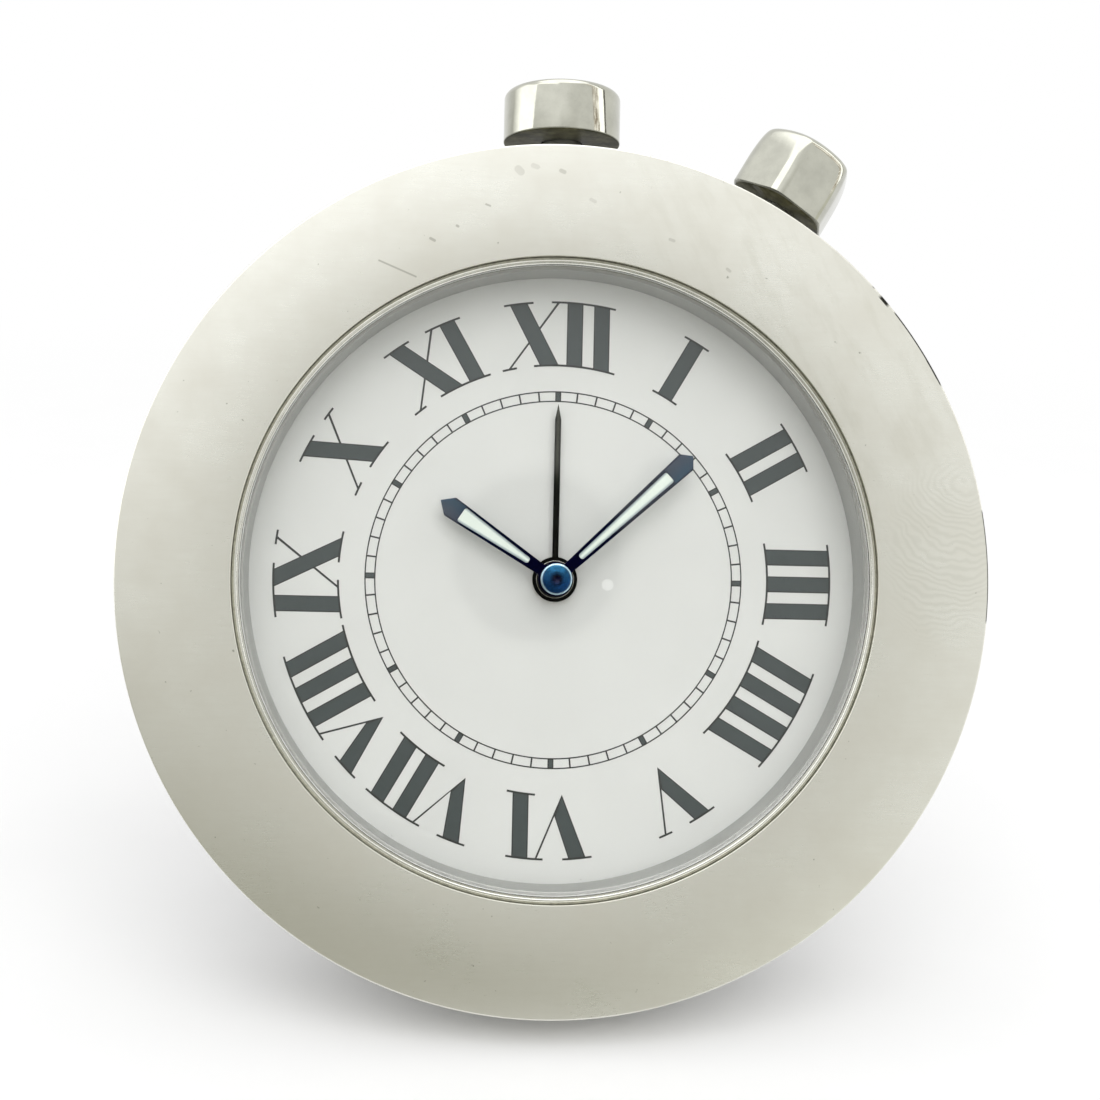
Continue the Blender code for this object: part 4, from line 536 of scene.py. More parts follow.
def soften(piece, width, segments=3):
    """Rounds the piece's sharp edges."""
    bevel = piece.modifiers.new("soft_edges", "BEVEL")
    bevel.width = width
    bevel.segments = segments
    bevel.limit_method = "ANGLE"
    bevel.angle_limit = math.radians(SHARP_DEGREES)
    bevel.harden_normals = True
    bevel.use_clamp_overlap = True


def cut_through(outline, front, back):
    """A cutter of that outline from before the front to behind the back, both depths."""
    return slab_shape(outline, -back - CUT_OVERRUN, -front + CUT_OVERRUN)


# Node helpers


def add(tree, kind, inputs=None, **settings):
    """A shader node with its settings and inputs; an input is a value or another node's output."""
    item = tree.nodes.new(kind)
    for name, value in settings.items():
        setattr(item, name, value)
    for name, value in (inputs or {}).items():
        socket = item.inputs[name]
        if isinstance(value, bpy.types.NodeSocket):
            tree.links.new(value, socket)
        else:
            socket.default_value = value
    return item


def maths(tree, operation, first, second=0.0):
    return add(tree, "ShaderNodeMath", {0: first, 1: second}, operation=operation).outputs[0]


def product(tree, first, *others):
    for other in others:
        first = maths(tree, "MULTIPLY", first, other)
    return first


def greatest(tree, first, *others):
    for other in others:
        first = maths(tree, "MAXIMUM", first, other)
    return first


def vector_maths(tree, operation, first, second, output=0):
    inputs = {0: first, "Scale" if operation == "SCALE" else 1: second}
    return add(tree, "ShaderNodeVectorMath", inputs, operation=operation).outputs[output]


def split(tree, place):
    return add(tree, "ShaderNodeSeparateXYZ", {0: place}).outputs


def light_path(tree):
    return add(tree, "ShaderNodeLightPath").outputs


def blend(tree, factor, first, second):
    """A colour between two others."""
    return add(tree, "ShaderNodeMix", {0: factor, 6: first, 7: second}, data_type="RGBA").outputs[2]


def blend_levels(tree, factor, first, second):
    """A number between two others."""
    return add(tree, "ShaderNodeMix", {0: factor, 2: first, 3: second}).outputs[0]


def blend_shaders(tree, factor, first, second):
    return add(tree, "ShaderNodeMixShader", {0: factor, 1: first, 2: second}).outputs[0]


def spread(tree, value, low, high, new_low=0.0, new_high=1.0, smooth=False):
    """A value mapped from one range to another, held at its ends."""
    inputs = {"Value": value, "From Min": low, "From Max": high, "To Min": new_low, "To Max": new_high}
    kind = "SMOOTHSTEP" if smooth else "LINEAR"
    return add(tree, "ShaderNodeMapRange", inputs, interpolation_type=kind).outputs[0]


def band(tree, value, rise_start, rise_end, fall_start, fall_end):
    """1 between the inner two of four levels of a value, 0 beyond the outer two."""
    rise = spread(tree, value, rise_start, rise_end)
    return product(tree, rise, spread(tree, value, fall_end, fall_start))


def stretched(tree, place, stretch):
    return vector_maths(tree, "MULTIPLY", place, stretch)


def polar(tree, place):
    """The distance from the frame's Z axis."""
    return vector_maths(tree, "LENGTH", stretched(tree, place, (1, 1, 0)), (0, 0, 0), "Value")


def noise(tree, place, scale, detail=3.0, roughness=0.5, stretch=None):
    if stretch:
        place = stretched(tree, place, stretch)
    inputs = {"Vector": place, "Scale": scale, "Detail": detail, "Roughness": roughness}
    return add(tree, "ShaderNodeTexNoise", inputs).outputs[0]


def rgb(red, green, blue):
    return (red, green, blue, 1.0)


def shaded(colour, factor):
    return rgb(*(channel * factor for channel in colour[:3]))


def toned(tree, factor, ends, colour, first_shade, second_shade):
    """Between two shades of a colour, as the factor goes from one end to the other."""
    factor = spread(tree, factor, *ends)
    return blend(tree, factor, shaded(colour, first_shade), shaded(colour, second_shade))


def shader_of(material):
    return material.node_tree.nodes["Principled BSDF"]


def begin(name, roughness, metallic):
    """A new material, its node tree and the place on the object in its own frame, in millimetres."""
    material = bpy.data.materials.new(name)
    material.use_nodes = True
    tree = material.node_tree
    shader_of(material).inputs["Roughness"].default_value = roughness
    shader_of(material).inputs["Metallic"].default_value = metallic
    place = add(tree, "ShaderNodeTexCoord").outputs["Object"]
    return material, tree, vector_maths(tree, "SCALE", place, 1 / MM)


def finished(material, colour, height=None, distance=0.0, strength=1.0, roughness=None):
    """The material with its colour, bump and roughness linked to its shader."""
    tree, inputs = material.node_tree, shader_of(material).inputs
    tree.links.new(colour, inputs["Base Color"])
    if roughness is not None:
        tree.links.new(roughness, inputs["Roughness"])
    if height is not None:
        bump = add(tree, "ShaderNodeBump", {"Height": height, "Distance": distance, "Strength": strength})
        tree.links.new(bump.outputs[0], inputs["Normal"])
    return material


def set_surface(tree, surface):
    tree.links.new(surface, tree.nodes["Material Output"].inputs["Surface"])


# Materials


def near_line(tree, place, start, end, half_width):
    """1 on the straight mark between two (x, y) places in millimetres, 0 away from it."""
    first = Vector((*start, 0))
    along = Vector((*end, 0)) - first
    offset = vector_maths(tree, "SUBTRACT", stretched(tree, place, (1, 1, 0)), first)
    dot = vector_maths(tree, "DOT_PRODUCT", offset, along, "Value")
    nearest = vector_maths(tree, "SCALE", along, spread(tree, dot, 0.0, along.length_squared))
    distance = vector_maths(tree, "DISTANCE", offset, nearest, "Value")
    return spread(tree, distance, half_width, half_width + SCRATCH_SOFTNESS, 1.0, 0.0)


def rim_shade_mask(tree, place, start, end, width):
    """1 along the bezel's front rim between two angles clockwise from 12 o'clock, 0 away from it: where a dark
    line of painted shade goes.
    """
    parts = split(tree, place)
    angle = product(tree, maths(tree, "ARCTAN2", parts["X"], parts["Y"]), math.degrees(1))
    off = maths(tree, "ABSOLUTE", maths(tree, "SUBTRACT", angle, (start + end) / 2))
    along = spread(tree, off, (end - start) / 2 - RIM_SHADE_END_DEGREES, (end - start) / 2, 1.0, 0.0)
    rim = radii("bezel")[1] / MM - width
    outer = spread(tree, polar(tree, place), *(rim + edge for edge in RIM_SHADE_EDGE))
    return product(tree, along, outer, spread(tree, parts["Z"], *RIM_SHADE_DEPTHS))


def fingerprint(tree, place):
    """Curved ridges around a point, fading out below and beside it."""
    offset = vector_maths(tree, "SUBTRACT", place, (*FINGERPRINT_CENTRE, 0))
    wobble = product(tree, noise(tree, place, 0.35, 2.0), 2.6)
    distance = maths(tree, "ADD", polar(tree, offset), wobble)
    ridges = maths(tree, "SINE", product(tree, distance, math.radians(360) / RIDGE_PITCH))
    below = vector_maths(tree, "ADD", offset, RIDGE_FADE_OFFSET)
    reach = polar(tree, stretched(tree, below, RIDGE_FADE_STRETCH))
    fade = spread(tree, reach, 0.45, 1.0, 0.34, 0.0, smooth=True)
    return product(tree, spread(tree, ridges, -0.6, 1.0), fade)


def bezel_material():
    """Satin steel with smudges, faint streaks, a fingerprint, a few scratches, and painted shade along parts of
    the front rim.
    """
    material, tree, place = begin("bezel_steel", 0.3, 1.0)
    smudge = rgb(0.81, 0.80, 0.74)
    cloudy = spread(tree, noise(tree, place, 0.16, 4.0, 0.55), 0.35, 0.68)
    colour = blend(tree, cloudy, rgb(0.88, 0.88, 0.83), smudge)
    streaks = noise(tree, place, 0.9, 4.0, 0.6, (0.35, 3.2, 1.0))
    colour = blend(tree, spread(tree, streaks, 0.45, 0.75, 0.0, 0.35), colour, smudge)
    slant = {0: place, "Angle": math.radians(-28)}
    slanted = add(tree, "ShaderNodeVectorRotate", slant, rotation_type="Z_AXIS").outputs[0]
    mottle = noise(tree, slanted, 0.75, 5.0, 0.62, (1.0, 0.28, 1.0))
    sides = split(tree, place)
    upper_right = product(tree, spread(tree, sides["X"], *WORN_ACROSS), spread(tree, sides["Y"], *WORN_UP))
    tone_shift = product(tree, spread(tree, mottle, 0.48, 0.66, 0.0, 0.35), upper_right)
    colour = blend(tree, tone_shift, colour, rgb(0.70, 0.69, 0.62))
    specks = spread(tree, noise(tree, place, 1.7, 2.0, 0.5), 0.735, 0.79)
    colour = blend(tree, specks, colour, rgb(0.48, 0.48, 0.43))
    colour = blend(tree, fingerprint(tree, place), colour, rgb(0.68, 0.68, 0.62))
    for start, end, half_width, depth in SCRATCHES:
        mark = product(tree, near_line(tree, place, start, end, half_width), depth)
        colour = blend(tree, mark, colour, rgb(0.30, 0.29, 0.25))
    # painted shade: a near-black line along parts of the front rim
    for rim_shade in RIM_SHADE_LINES:
        colour = blend(tree, rim_shade_mask(tree, place, *rim_shade), colour, rgb(0.035, 0.035, 0.03))
    fine = noise(tree, place, 2.2, 3.0, 0.6, (0.5, 9.0, 1.0))
    rough = maths(tree, "ADD", spread(tree, fine, 0.3, 0.7, 0.25, 0.31), product(tree, cloudy, 0.06))
    return finished(material, colour, fine, FINE_BUMP, roughness=rough)


def steel_material(name, colour, roughness, line_scale, around):
    """Brushed steel; its lines run round the frame's Z axis, or along X where around is false."""
    material, tree, place = begin(name, roughness, 1.0)
    if around:
        reach = add(tree, "ShaderNodeCombineXYZ", {0: polar(tree, place)}).outputs[0]
        lines = noise(tree, reach, line_scale, 4.0, 0.7)
    else:
        lines = noise(tree, place, line_scale, 4.0, 0.7, (0.04, 1.0, 1.0))
    tone = toned(tree, lines, (0.3, 0.7), colour, 0.86, 1.06)
    cloudy = spread(tree, noise(tree, place, 0.25, 4.0), 0.4, 0.75, 0.0, 0.5)
    tone = blend(tree, cloudy, tone, shaded(colour, 0.84))
    rough = spread(tree, lines, 0.2, 0.8, roughness + 0.06, roughness - 0.05)
    return finished(material, tone, lines, BRUSHED_BUMP, roughness=rough)


def polished_material(name, colour, roughness, scuffs):
    """Polished steel with faint wear."""
    material, tree, place = begin(name, roughness, 1.0)
    cloudy = noise(tree, place, 0.8, 4.0, 0.6)
    wear = spread(tree, noise(tree, place, 5.0, 5.0, 0.75), 0.62, 0.8, 0.0, scuffs)
    tone = blend(tree, wear, toned(tree, cloudy, (0.35, 0.7), colour, 1.0, 0.9), shaded(colour, 0.55))
    rough = spread(tree, cloudy, 0.3, 0.7, roughness, roughness * 1.6)
    rough = maths(tree, "ADD", rough, product(tree, wear, 0.2))
    return finished(material, tone, noise(tree, place, 1.3, 2.0), POLISHED_BUMP, 0.35, rough)


def control_material(name, base):
    """Polished steel of the button and the crown, with grime and painted shade on the underside at that height."""
    material, tree, place = begin(name, 0.07, 1.0)
    clean = rgb(0.57, 0.57, 0.51)
    cloudy = noise(tree, place, 0.7, 4.0, 0.6)
    wear = spread(tree, noise(tree, place, 4.0, 5.0, 0.75), 0.60, 0.8, 0.0, 0.5)
    tone = blend(tree, wear, toned(tree, cloudy, (0.35, 0.7), clean, 1.0, 0.86), shaded(clean, 0.6))
    low, high = (base / MM + rise for rise in GRIME_AND_SHADE_HEIGHTS)
    # grime and painted shade: dull dark olive near the base, where the control faces the case
    grime_and_shade = spread(tree, split(tree, place)["Z"], low, high, 1.0, 0.0)
    olive = spread(tree, noise(tree, place, 0.9, 3.0), 0.4, 0.65)
    olive = blend(tree, olive, rgb(0.030, 0.029, 0.012), rgb(0.10, 0.095, 0.050))
    tone = blend(tree, grime_and_shade, tone, olive)
    inputs = shader_of(material).inputs
    tree.links.new(maths(tree, "SUBTRACT", 1.0, grime_and_shade), inputs["Metallic"])
    tree.links.new(maths(tree, "SUBTRACT", 0.5, product(tree, grime_and_shade, 0.45)), inputs["Specular IOR Level"])
    rough = maths(tree, "ADD", spread(tree, cloudy, 0.3, 0.7, 0.05, 0.10), product(tree, grime_and_shade, 0.3))
    return finished(material, tone, noise(tree, place, 1.1, 2.0), CONTROL_BUMP, 0.4, rough)


def dial_material():
    """Matt white lacquer with a few dirt specks by the wall and faint painted shade and reflection around the hub.
    """
    material, tree, place = begin("dial_white", 0.5, 0.0)
    base = rgb(0.75, 0.755, 0.735)
    tone = toned(tree, noise(tree, place, 0.12, 3.0), (0.35, 0.7), base, 1.0, 0.96)
    # painted shade and reflection: a soft darker disc around the hub
    beside = vector_maths(tree, "SUBTRACT", place, HUB_SHADE_CENTRE)
    hub_shade = spread(tree, polar(tree, beside), *HUB_SHADE_RADII, 0.10, 0.0, smooth=True)
    tone = blend(tree, hub_shade, tone, shaded(base, 0.6))
    specks = spread(tree, noise(tree, place, 2.6, 3.0, 0.6), 0.70, 0.76)
    by_wall = spread(tree, polar(tree, place), *DIRT_RADII)
    dirt = product(tree, specks, by_wall, spread(tree, split(tree, place)["Y"], *DIRT_HEIGHTS))
    tone = blend(tree, dirt, tone, rgb(0.10, 0.085, 0.06))
    return finished(material, tone, noise(tree, place, 9.0, 2.0), MATT_BUMP, 0.25)


def print_material(name, colour):
    """Matt printing ink, a little uneven."""
    material, tree, place = begin(name, 0.5, 0.0)
    return finished(material, toned(tree, noise(tree, place, 6.0, 4.0), (0, 1), colour, 0.85, 1.15))


def flange_material():
    """Grey turned wall with a smoother lip at its front, painted lighter there as a highlight."""
    material, tree, place = begin("flange_grey", 0.42, 0.4)
    lines = noise(tree, place, 2.0, 4.0, 0.6, (1.0, 1.0, 8.0))
    tone = toned(tree, lines, (0.3, 0.7), rgb(0.44, 0.445, 0.43), 0.9, 1.08)
    front = -depths("dial_flange_ring")[0] / MM
    lip_start, lip_end = (front - FLANGE_ROUND / MM * share for share in FLANGE_LIP_SHARES)
    lip = spread(tree, split(tree, place)["Z"], lip_start, lip_end)
    # painted highlight: the lip lighter than the wall
    tone = blend(tree, lip, tone, rgb(0.50, 0.50, 0.48))
    rough = spread(tree, lip, 0.0, 1.0, 0.42, 0.24)
    return finished(material, tone, lines, MATT_BUMP, 0.4, rough)


def blued_material(hand):
    """Blued steel of one hand, its tone a painted reflection: near black beside the lume, slate blue at the tip
    and lighter on one side there, with painted shade along the tip's edges.
    """
    material, tree, place = begin(hand.blued, 0.28, 1.0)
    parts = split(tree, place)
    lume_end, half_width = hand.lume_end / MM, hand.width / 2 / MM
    # painted reflection: near black beside the lume, where a dark part of the room is mirrored
    strip = spread(tree, parts["Y"], BLUED_START, lume_end)
    strip = blend(tree, strip, rgb(0.0005, 0.0008, 0.020), rgb(0.006, 0.012, 0.035))
    # painted reflection: one side of the tip lighter than the other
    tip = spread(tree, parts["X"], *BLUED_TIP_SIDES)
    tip = blend(tree, tip, rgb(0.060, 0.080, 0.125), rgb(0.030, 0.075, 0.130))
    tone_shift = spread(tree, noise(tree, place, 2.6, 4.0), 0.45, 0.7, 0.0, 0.3)
    tip = blend(tree, tone_shift, tip, rgb(0.07, 0.08, 0.11))
    # painted shade along the tip's edges
    beside = (half_width + edge for edge in BLUED_SHADED_EDGE)
    edge = spread(tree, maths(tree, "ABSOLUTE", parts["X"]), *beside)
    tip = blend(tree, product(tree, edge, 0.7), tip, rgb(0.004, 0.008, 0.030))
    at_tip = spread(tree, parts["Y"], *(lume_end + fade for fade in BLUED_TIP_FADE), smooth=True)
    lines = noise(tree, place, 3.0, 3.0, stretch=(6.0, 1.0, 1.0))
    return finished(material, blend(tree, at_tip, strip, tip), lines, FINE_BUMP, 0.5)


def cap_material():
    """Polished blue cap with painted light: lighter at the top than below, a painted highlight on its rim and
    painted shade in its middle.
    """
    material, tree, place = begin("cap_blue", 0.16, 0.75)
    radius = polar(tree, place)
    # painted light: the cap lighter at the top than below
    body = spread(tree, split(tree, place)["Y"], *CAP_LIGHT_HEIGHTS)
    body = blend(tree, body, rgb(0.000, 0.040, 0.150), rgb(0.006, 0.080, 0.165))
    # painted shade in and around the dimple
    tone = blend(tree, spread(tree, radius, *CAP_SHADE_RADII), rgb(0.0, 0.0004, 0.016), body)
    # painted highlight on the rim
    tone = blend(tree, spread(tree, radius, *CAP_HIGHLIGHT_RADII), tone, rgb(0.50, 0.68, 0.82))
    return finished(material, tone, noise(tree, place, 6.0, 2.0), FINE_BUMP, 0.3)


def lume_material(hand):
    """Grainy luminous paint, with painted shade towards both edges of its tapered window."""
    material, tree, place = begin(hand.lume, 0.75, 0.0)
    grain = noise(tree, place, 9.0, 3.0, 0.6)
    tone = blend(tree, spread(tree, grain, 0.3, 0.7), rgb(0.80, 0.88, 0.80), rgb(0.88, 0.96, 0.89))
    stain = spread(tree, noise(tree, place, 2.2, 3.0), 0.66, 0.74, 0.0, 0.35)
    tone = blend(tree, stain, tone, rgb(0.55, 0.62, 0.58))
    parts = split(tree, place)
    near, far = (width / 2 / MM for width in hand.lume_widths)
    half = spread(tree, parts["Y"], LUME_START / MM, hand.lume_end / MM, near, far)
    # painted shade along both edges of the window
    beyond = maths(tree, "SUBTRACT", maths(tree, "ABSOLUTE", parts["X"]), half)
    edge = spread(tree, beyond, -LUME_SHADE_WIDTH / MM, 0.0, 0.0, 0.8, smooth=True)
    tone = blend(tree, edge, tone, rgb(0.22, 0.30, 0.34))
    return finished(material, tone, grain, LUME_BUMP, 0.6)


def seal_material():
    """Matt rubber, greyed by dirt."""
    material, tree, place = begin("seal_black", 0.6, 0.0)
    grain = noise(tree, place, 4.0, 4.0, 0.6)
    tone = toned(tree, grain, (0.3, 0.7), rgb(0.30, 0.295, 0.23), 0.7, 1.3)
    return finished(material, tone, grain, RUBBER_BUMP, 0.4)


def alarm_material():
    """Black lacquer, with a painted reflection in dark olive along the middle of the outer half."""
    material, tree, place = begin("alarm_black", 0.4, 0.0)
    shader_of(material).inputs["Specular IOR Level"].default_value = 0.05
    grain = noise(tree, place, 4.0, 4.0, 0.6)
    tone = blend(tree, spread(tree, grain, 0.3, 0.7), rgb(0.001, 0.001, 0.001), rgb(0.004, 0.004, 0.002))
    # painted reflection: a dark olive stripe along the middle of the outer half
    across = maths(tree, "ABSOLUTE", split(tree, place)["X"])
    outer = spread(tree, polar(tree, place), *ALARM_SHEEN_RADII, 0.10, 1.0)
    tone_shift = product(tree, spread(tree, across, *ALARM_SHEEN_SIDES, 1.0, 0.0), outer)
    tone = blend(tree, tone_shift, tone, rgb(0.040, 0.041, 0.030))
    return finished(material, tone, grain, RUBBER_BUMP, 0.4)


def glass_material():
    """Clear glass that lets lamps through to the dial."""
    material = bpy.data.materials.new("glass_clear")
    material.use_nodes = True
    tree, shader = material.node_tree, shader_of(material)
    shader.inputs["Roughness"].default_value = 0.0
    shader.inputs["Base Color"].default_value = rgb(0.985, 0.99, 0.985)
    shader.inputs["Transmission Weight"].default_value = 1.0
    shader.inputs["IOR"].default_value = 1.42
    clear = add(tree, "ShaderNodeBsdfTransparent", {"Color": rgb(0.97, 0.975, 0.97)}).outputs[0]
    set_surface(tree, blend_shaders(tree, light_path(tree)["Is Shadow Ray"], shader.outputs[0], clear))
    return material


def holder_material():
    """Pale moulded plastic."""
    material, tree, place = begin("holder_plastic", 0.5, 0.0)
    tone = toned(tree, noise(tree, place, 3.0, 4.0), (0.3, 0.7), rgb(0.78, 0.77, 0.71), 0.93, 1.05)
    return finished(material, tone, noise(tree, place, 14.0, 2.0), MATT_BUMP, 0.4)


def coil_material():
    """Fine copper wire wound about the object's own long axis."""
    material, tree, place = begin("copper_wire", 0.35, 1.0)
    wires = maths(tree, "SINE", product(tree, split(tree, place)["X"], math.radians(360) / WIRE_PITCH))
    tone = blend(tree, spread(tree, wires, -1.0, 1.0), rgb(0.28, 0.09, 0.03), rgb(0.68, 0.30, 0.13))
    return finished(material, tone, wires, POLISHED_BUMP, 0.6)


def board_material():
    """Green circuit board with faint copper tracks under the mask."""
    material, tree, place = begin("board_green", 0.4, 0.0)
    tracks = {"Vector": place, "Scale": 0.9, "Mortar Size": 0.03}
    tracks = add(tree, "ShaderNodeTexBrick", tracks).outputs["Fac"]
    tone = blend(tree, tracks, rgb(0.01, 0.12, 0.05), rgb(0.04, 0.22, 0.09))
    return finished(material, tone, tracks, POLISHED_BUMP, 0.5)


def floor_material():
    """White floor that keeps the object's shadow nearby and fades into the white background."""
    material, tree, place = begin("floor_white", 0.9, 0.0)
    shader = shader_of(material)
    shader.inputs["Specular IOR Level"].default_value = 0.0
    tone = blend(tree, noise(tree, place, 0.06, 3.0), rgb(0.90, 0.90, 0.90), rgb(0.93, 0.93, 0.93))
    white = add(tree, "ShaderNodeEmission", {"Color": rgb(1, 1, 1)}).outputs[0]
    far = spread(tree, polar(tree, place), *FLOOR_FADE, smooth=True)
    rays = light_path(tree)
    seen = greatest(tree, rays["Is Camera Ray"], rays["Is Glossy Ray"], rays["Is Transmission Ray"])
    surface = blend_shaders(tree, product(tree, far, seen), shader.outputs[0], white)
    parts = split(tree, place)
    shade = spread(tree, parts["X"], *FRONT_SHADE_ACROSS, smooth=True)
    shade = blend(tree, shade, FRONT_SHADE, FRONT_SHADE_RIGHT)
    shade = add(tree, "ShaderNodeEmission", {"Color": shade}).outputs[0]
    in_front = spread(tree, parts["Y"], *FRONT_SHADE_DEPTHS, smooth=True)
    set_surface(tree, blend_shaders(tree, product(tree, in_front, rays["Is Glossy Ray"]), surface, shade))
    return finished(material, tone)


def make_materials():
    """The materials by name. A name that the CAD uses too ends in a number, which is left off here."""
    steel = rgb(0.62, 0.62, 0.60)
    made = [
        bezel_material(),
        steel_material("brushed_steel", steel, 0.33, 9.0, False),
        steel_material("turned_steel", steel, 0.33, 9.0, True),
        steel_material("brass", rgb(0.72, 0.55, 0.25), 0.28, 6.0, False),
        steel_material("nickel", rgb(0.64, 0.62, 0.58), 0.26, 6.0, False),
        steel_material("cell_steel", rgb(0.68, 0.68, 0.68), 0.22, 5.0, False),
        polished_material("polished_steel", rgb(0.62, 0.62, 0.59), 0.09, 0.25),
        polished_material("ring_steel", rgb(0.82, 0.82, 0.78), 0.16, 0.15),
        control_material("button_steel", heights("push_button_cap", BUTTON_FRAME)[0]),
        control_material("crown_steel", heights("crown", CROWN_FRAME)[0]),
        dial_material(),
        print_material("print_edge", rgb(0.008, 0.011, 0.011)),
        print_material("print_fill", rgb(0.036, 0.050, 0.053)),
        flange_material(),
        blued_material(MINUTE_HAND),
        blued_material(HOUR_HAND),
        lume_material(MINUTE_HAND),
        lume_material(HOUR_HAND),
        cap_material(),
        alarm_material(),
        glass_material(),
        seal_material(),
        holder_material(),
        coil_material(),
        board_material(),
    ]
    return {material.name.split(".")[0]: material for material in made}


# Pieces of the case and the rings


def make_bezel():
    opening, case_radius = radii("bezel")
    seam, back = depths("case_middle")[0], depths("bezel")[1]
    spigot = radii("case_middle")[0] - SEAM_ROUND
    corners = [
        (opening, 0, BEZEL_INNER_ROUND),
        (case_radius, 0, BEZEL_EDGE_ROUND),
        (case_radius, -seam, SEAM_ROUND),
        (spigot, -seam),
        (spigot, -back),
        (opening, -back),
    ]
    turned_piece("bezel_ring", corners, "bezel_steel", "bezel_steel", ["bezel"])


def make_case():
    inner, outer = radii("case_middle")
    front, back = depths("case_middle")
    points = node_points("case_middle", FACE)
    waist = max(-point.z for point in points if math.hypot(point.x, point.y) > outer - TOUCH)
    rear = max(math.hypot(point.x, point.y) for point in points if -point.z > back - TOUCH) + REAR_ROUND / 2
    seat, cover_front = radii("back_cover")[1] + SEAM_ROUND / 4, depths("back_gasket")[1]
    corners = [
        (inner, -front),
        (outer, -front, SEAM_ROUND),
        (outer, -waist, EDGE_ROUND),
        (rear, -back, REAR_ROUND),
        (seat, -back, SEAM_ROUND / 2),
        (seat, -cover_front),
        (inner, -cover_front),
    ]
    ring = turned_piece("case_ring", corners, "turned_steel", "brushed_steel", ["case_middle"])
    carve(ring, [tube_bore("button_tube", BUTTON_FRAME), tube_bore("crown_tube", CROWN_FRAME)])
    ring.data.set_sharp_from_angle(angle=math.radians(SHARP_DEGREES))


def tube_bore(node, matrix):
    """The hole for a tube, in the face's frame."""
    low, high = heights(node, matrix)
    outline = circle(radii(node, matrix)[1] + SEAM_ROUND / 4, SMALL_LATHE_STEPS)
    shape = slab_shape(outline, low - TUBE_BORE_OVERRUN, high)
    bmesh.ops.transform(shape, matrix=FACE.inverted() @ matrix, verts=shape.verts[:])
    return shape


def make_retainer():
    """The polished ring around the crystal, rounded at the front and lapping over the gasket."""
    inner, outer = radii("crystal_retaining_ring")
    front, back = depths("crystal_retaining_ring")
    crest = -front - RETAINER_SINK
    lip = outer + RETAINER_LIP_WIDTH
    under = crest - RETAINER_ROUND * 1.5
    corners = [
        (inner, under),
        (inner + RETAINER_SHELF, under),
        (inner + RETAINER_SHELF, crest, RETAINER_ROUND),
        (lip, crest, RETAINER_ROUND),
        (lip, under),
        (outer, under),
        (outer, -back),
        (inner, -back),
    ]
    turned_piece("retaining_ring", corners, "ring_steel", "polished_steel", ["crystal_retaining_ring"])


def make_gasket():
    inner, outer = radii("crystal_gasket")
    front, back = depths("crystal_gasket")
    crest = -front + GASKET_RISE
    corners = [(inner, crest, GASKET_ROUND), (outer, crest, GASKET_ROUND), (outer, -back), (inner, -back)]
    turned_piece("gasket_ring", corners, "seal_black", "seal_black", ["crystal_gasket"])


def make_crystal():
    radius = radii("crystal")[1]
    front, back = depths("crystal")
    edge = [(radius - CRYSTAL_EDGE, -front), (radius, -front - CRYSTAL_EDGE)]
    corners = [(0, -front), *edge, (radius, -back), (0, -back)]
    turned_piece("crystal_disc", corners, "glass_clear", "glass_clear", ["crystal"])


def make_flange():
    inner, outer = radii("dial_flange_ring")
    front, back = depths("dial_flange_ring")
    step = radii("bezel")[0] - SEAM_ROUND / 2
    shelf = depths("bezel")[1] + SEAM_ROUND / 2
    corners = [
        (inner, -front, FLANGE_ROUND),
        (step, -front),
        (step, -shelf),
        (outer, -shelf),
        (outer, -back),
        (inner, -back),
    ]
    turned_piece("flange_ring", corners, "flange_grey", "flange_grey", ["dial_flange_ring"])


def make_dial():
    inner, outer = radii("dial")
    front, back = depths("dial")
    corners = [(inner, -front), (outer, -front), (outer, -back), (inner, -back)]
    turned_piece("dial_disc", corners, "dial_white", "dial_white", ["dial"])


# Dial print


def on_arc(x, radius):
    """A point on the circle of that radius, at x beside the numeral's centre line."""
    return (x, math.sqrt(radius**2 - x**2))


def inset(points, distance):
    """A convex outline moved inwards."""
    middle = sum((Vector(point) for point in points), Vector((0, 0))) / len(points)
    lines = []
    for first, second in zip(points, points[1:] + points[:1]):
        start, end = Vector(first), Vector(second)
        side = (end - start).normalized().orthogonal()
        if side.dot(middle - start) < 0:
            side.negate()
        lines.append((start + side * distance, (end - start).normalized()))
    moved = []
    for (place, way), (other_place, other_way) in zip(lines[-1:] + lines[:-1], lines):
        reach = (other_place - place).cross(other_way) / way.cross(other_way)
        moved.append(tuple(place + way * reach))
    return moved


def merged(intervals):
    """Overlapping intervals joined into one."""
    joined = []
    for low, high in sorted(intervals):
        if joined and low <= joined[-1][1]:
            joined[-1] = (joined[-1][0], max(high, joined[-1][1]))
        else:
            joined.append((low, high))
    return joined


def stroke(foot_left, foot_right, top_left, top_right):
    """A straight stroke from the numerals' lower circle to the upper one."""
    foot = [on_arc(foot_left, NUMERAL_BOTTOM), on_arc(foot_right, NUMERAL_BOTTOM)]
    return foot + [on_arc(top_right, NUMERAL_TOP), on_arc(top_left, NUMERAL_TOP)]


def serif(left, right):
    return (left - SERIF_OVERHANG, right + SERIF_OVERHANG)


def thin_serif(x):
    return (x - THIN_SERIF_HALF, x + THIN_SERIF_HALF)


def bar_strokes(x):
    ends = (x, x + BAR_WIDTH)
    return [stroke(*ends, *ends)], [], [serif(*ends)], [serif(*ends)]


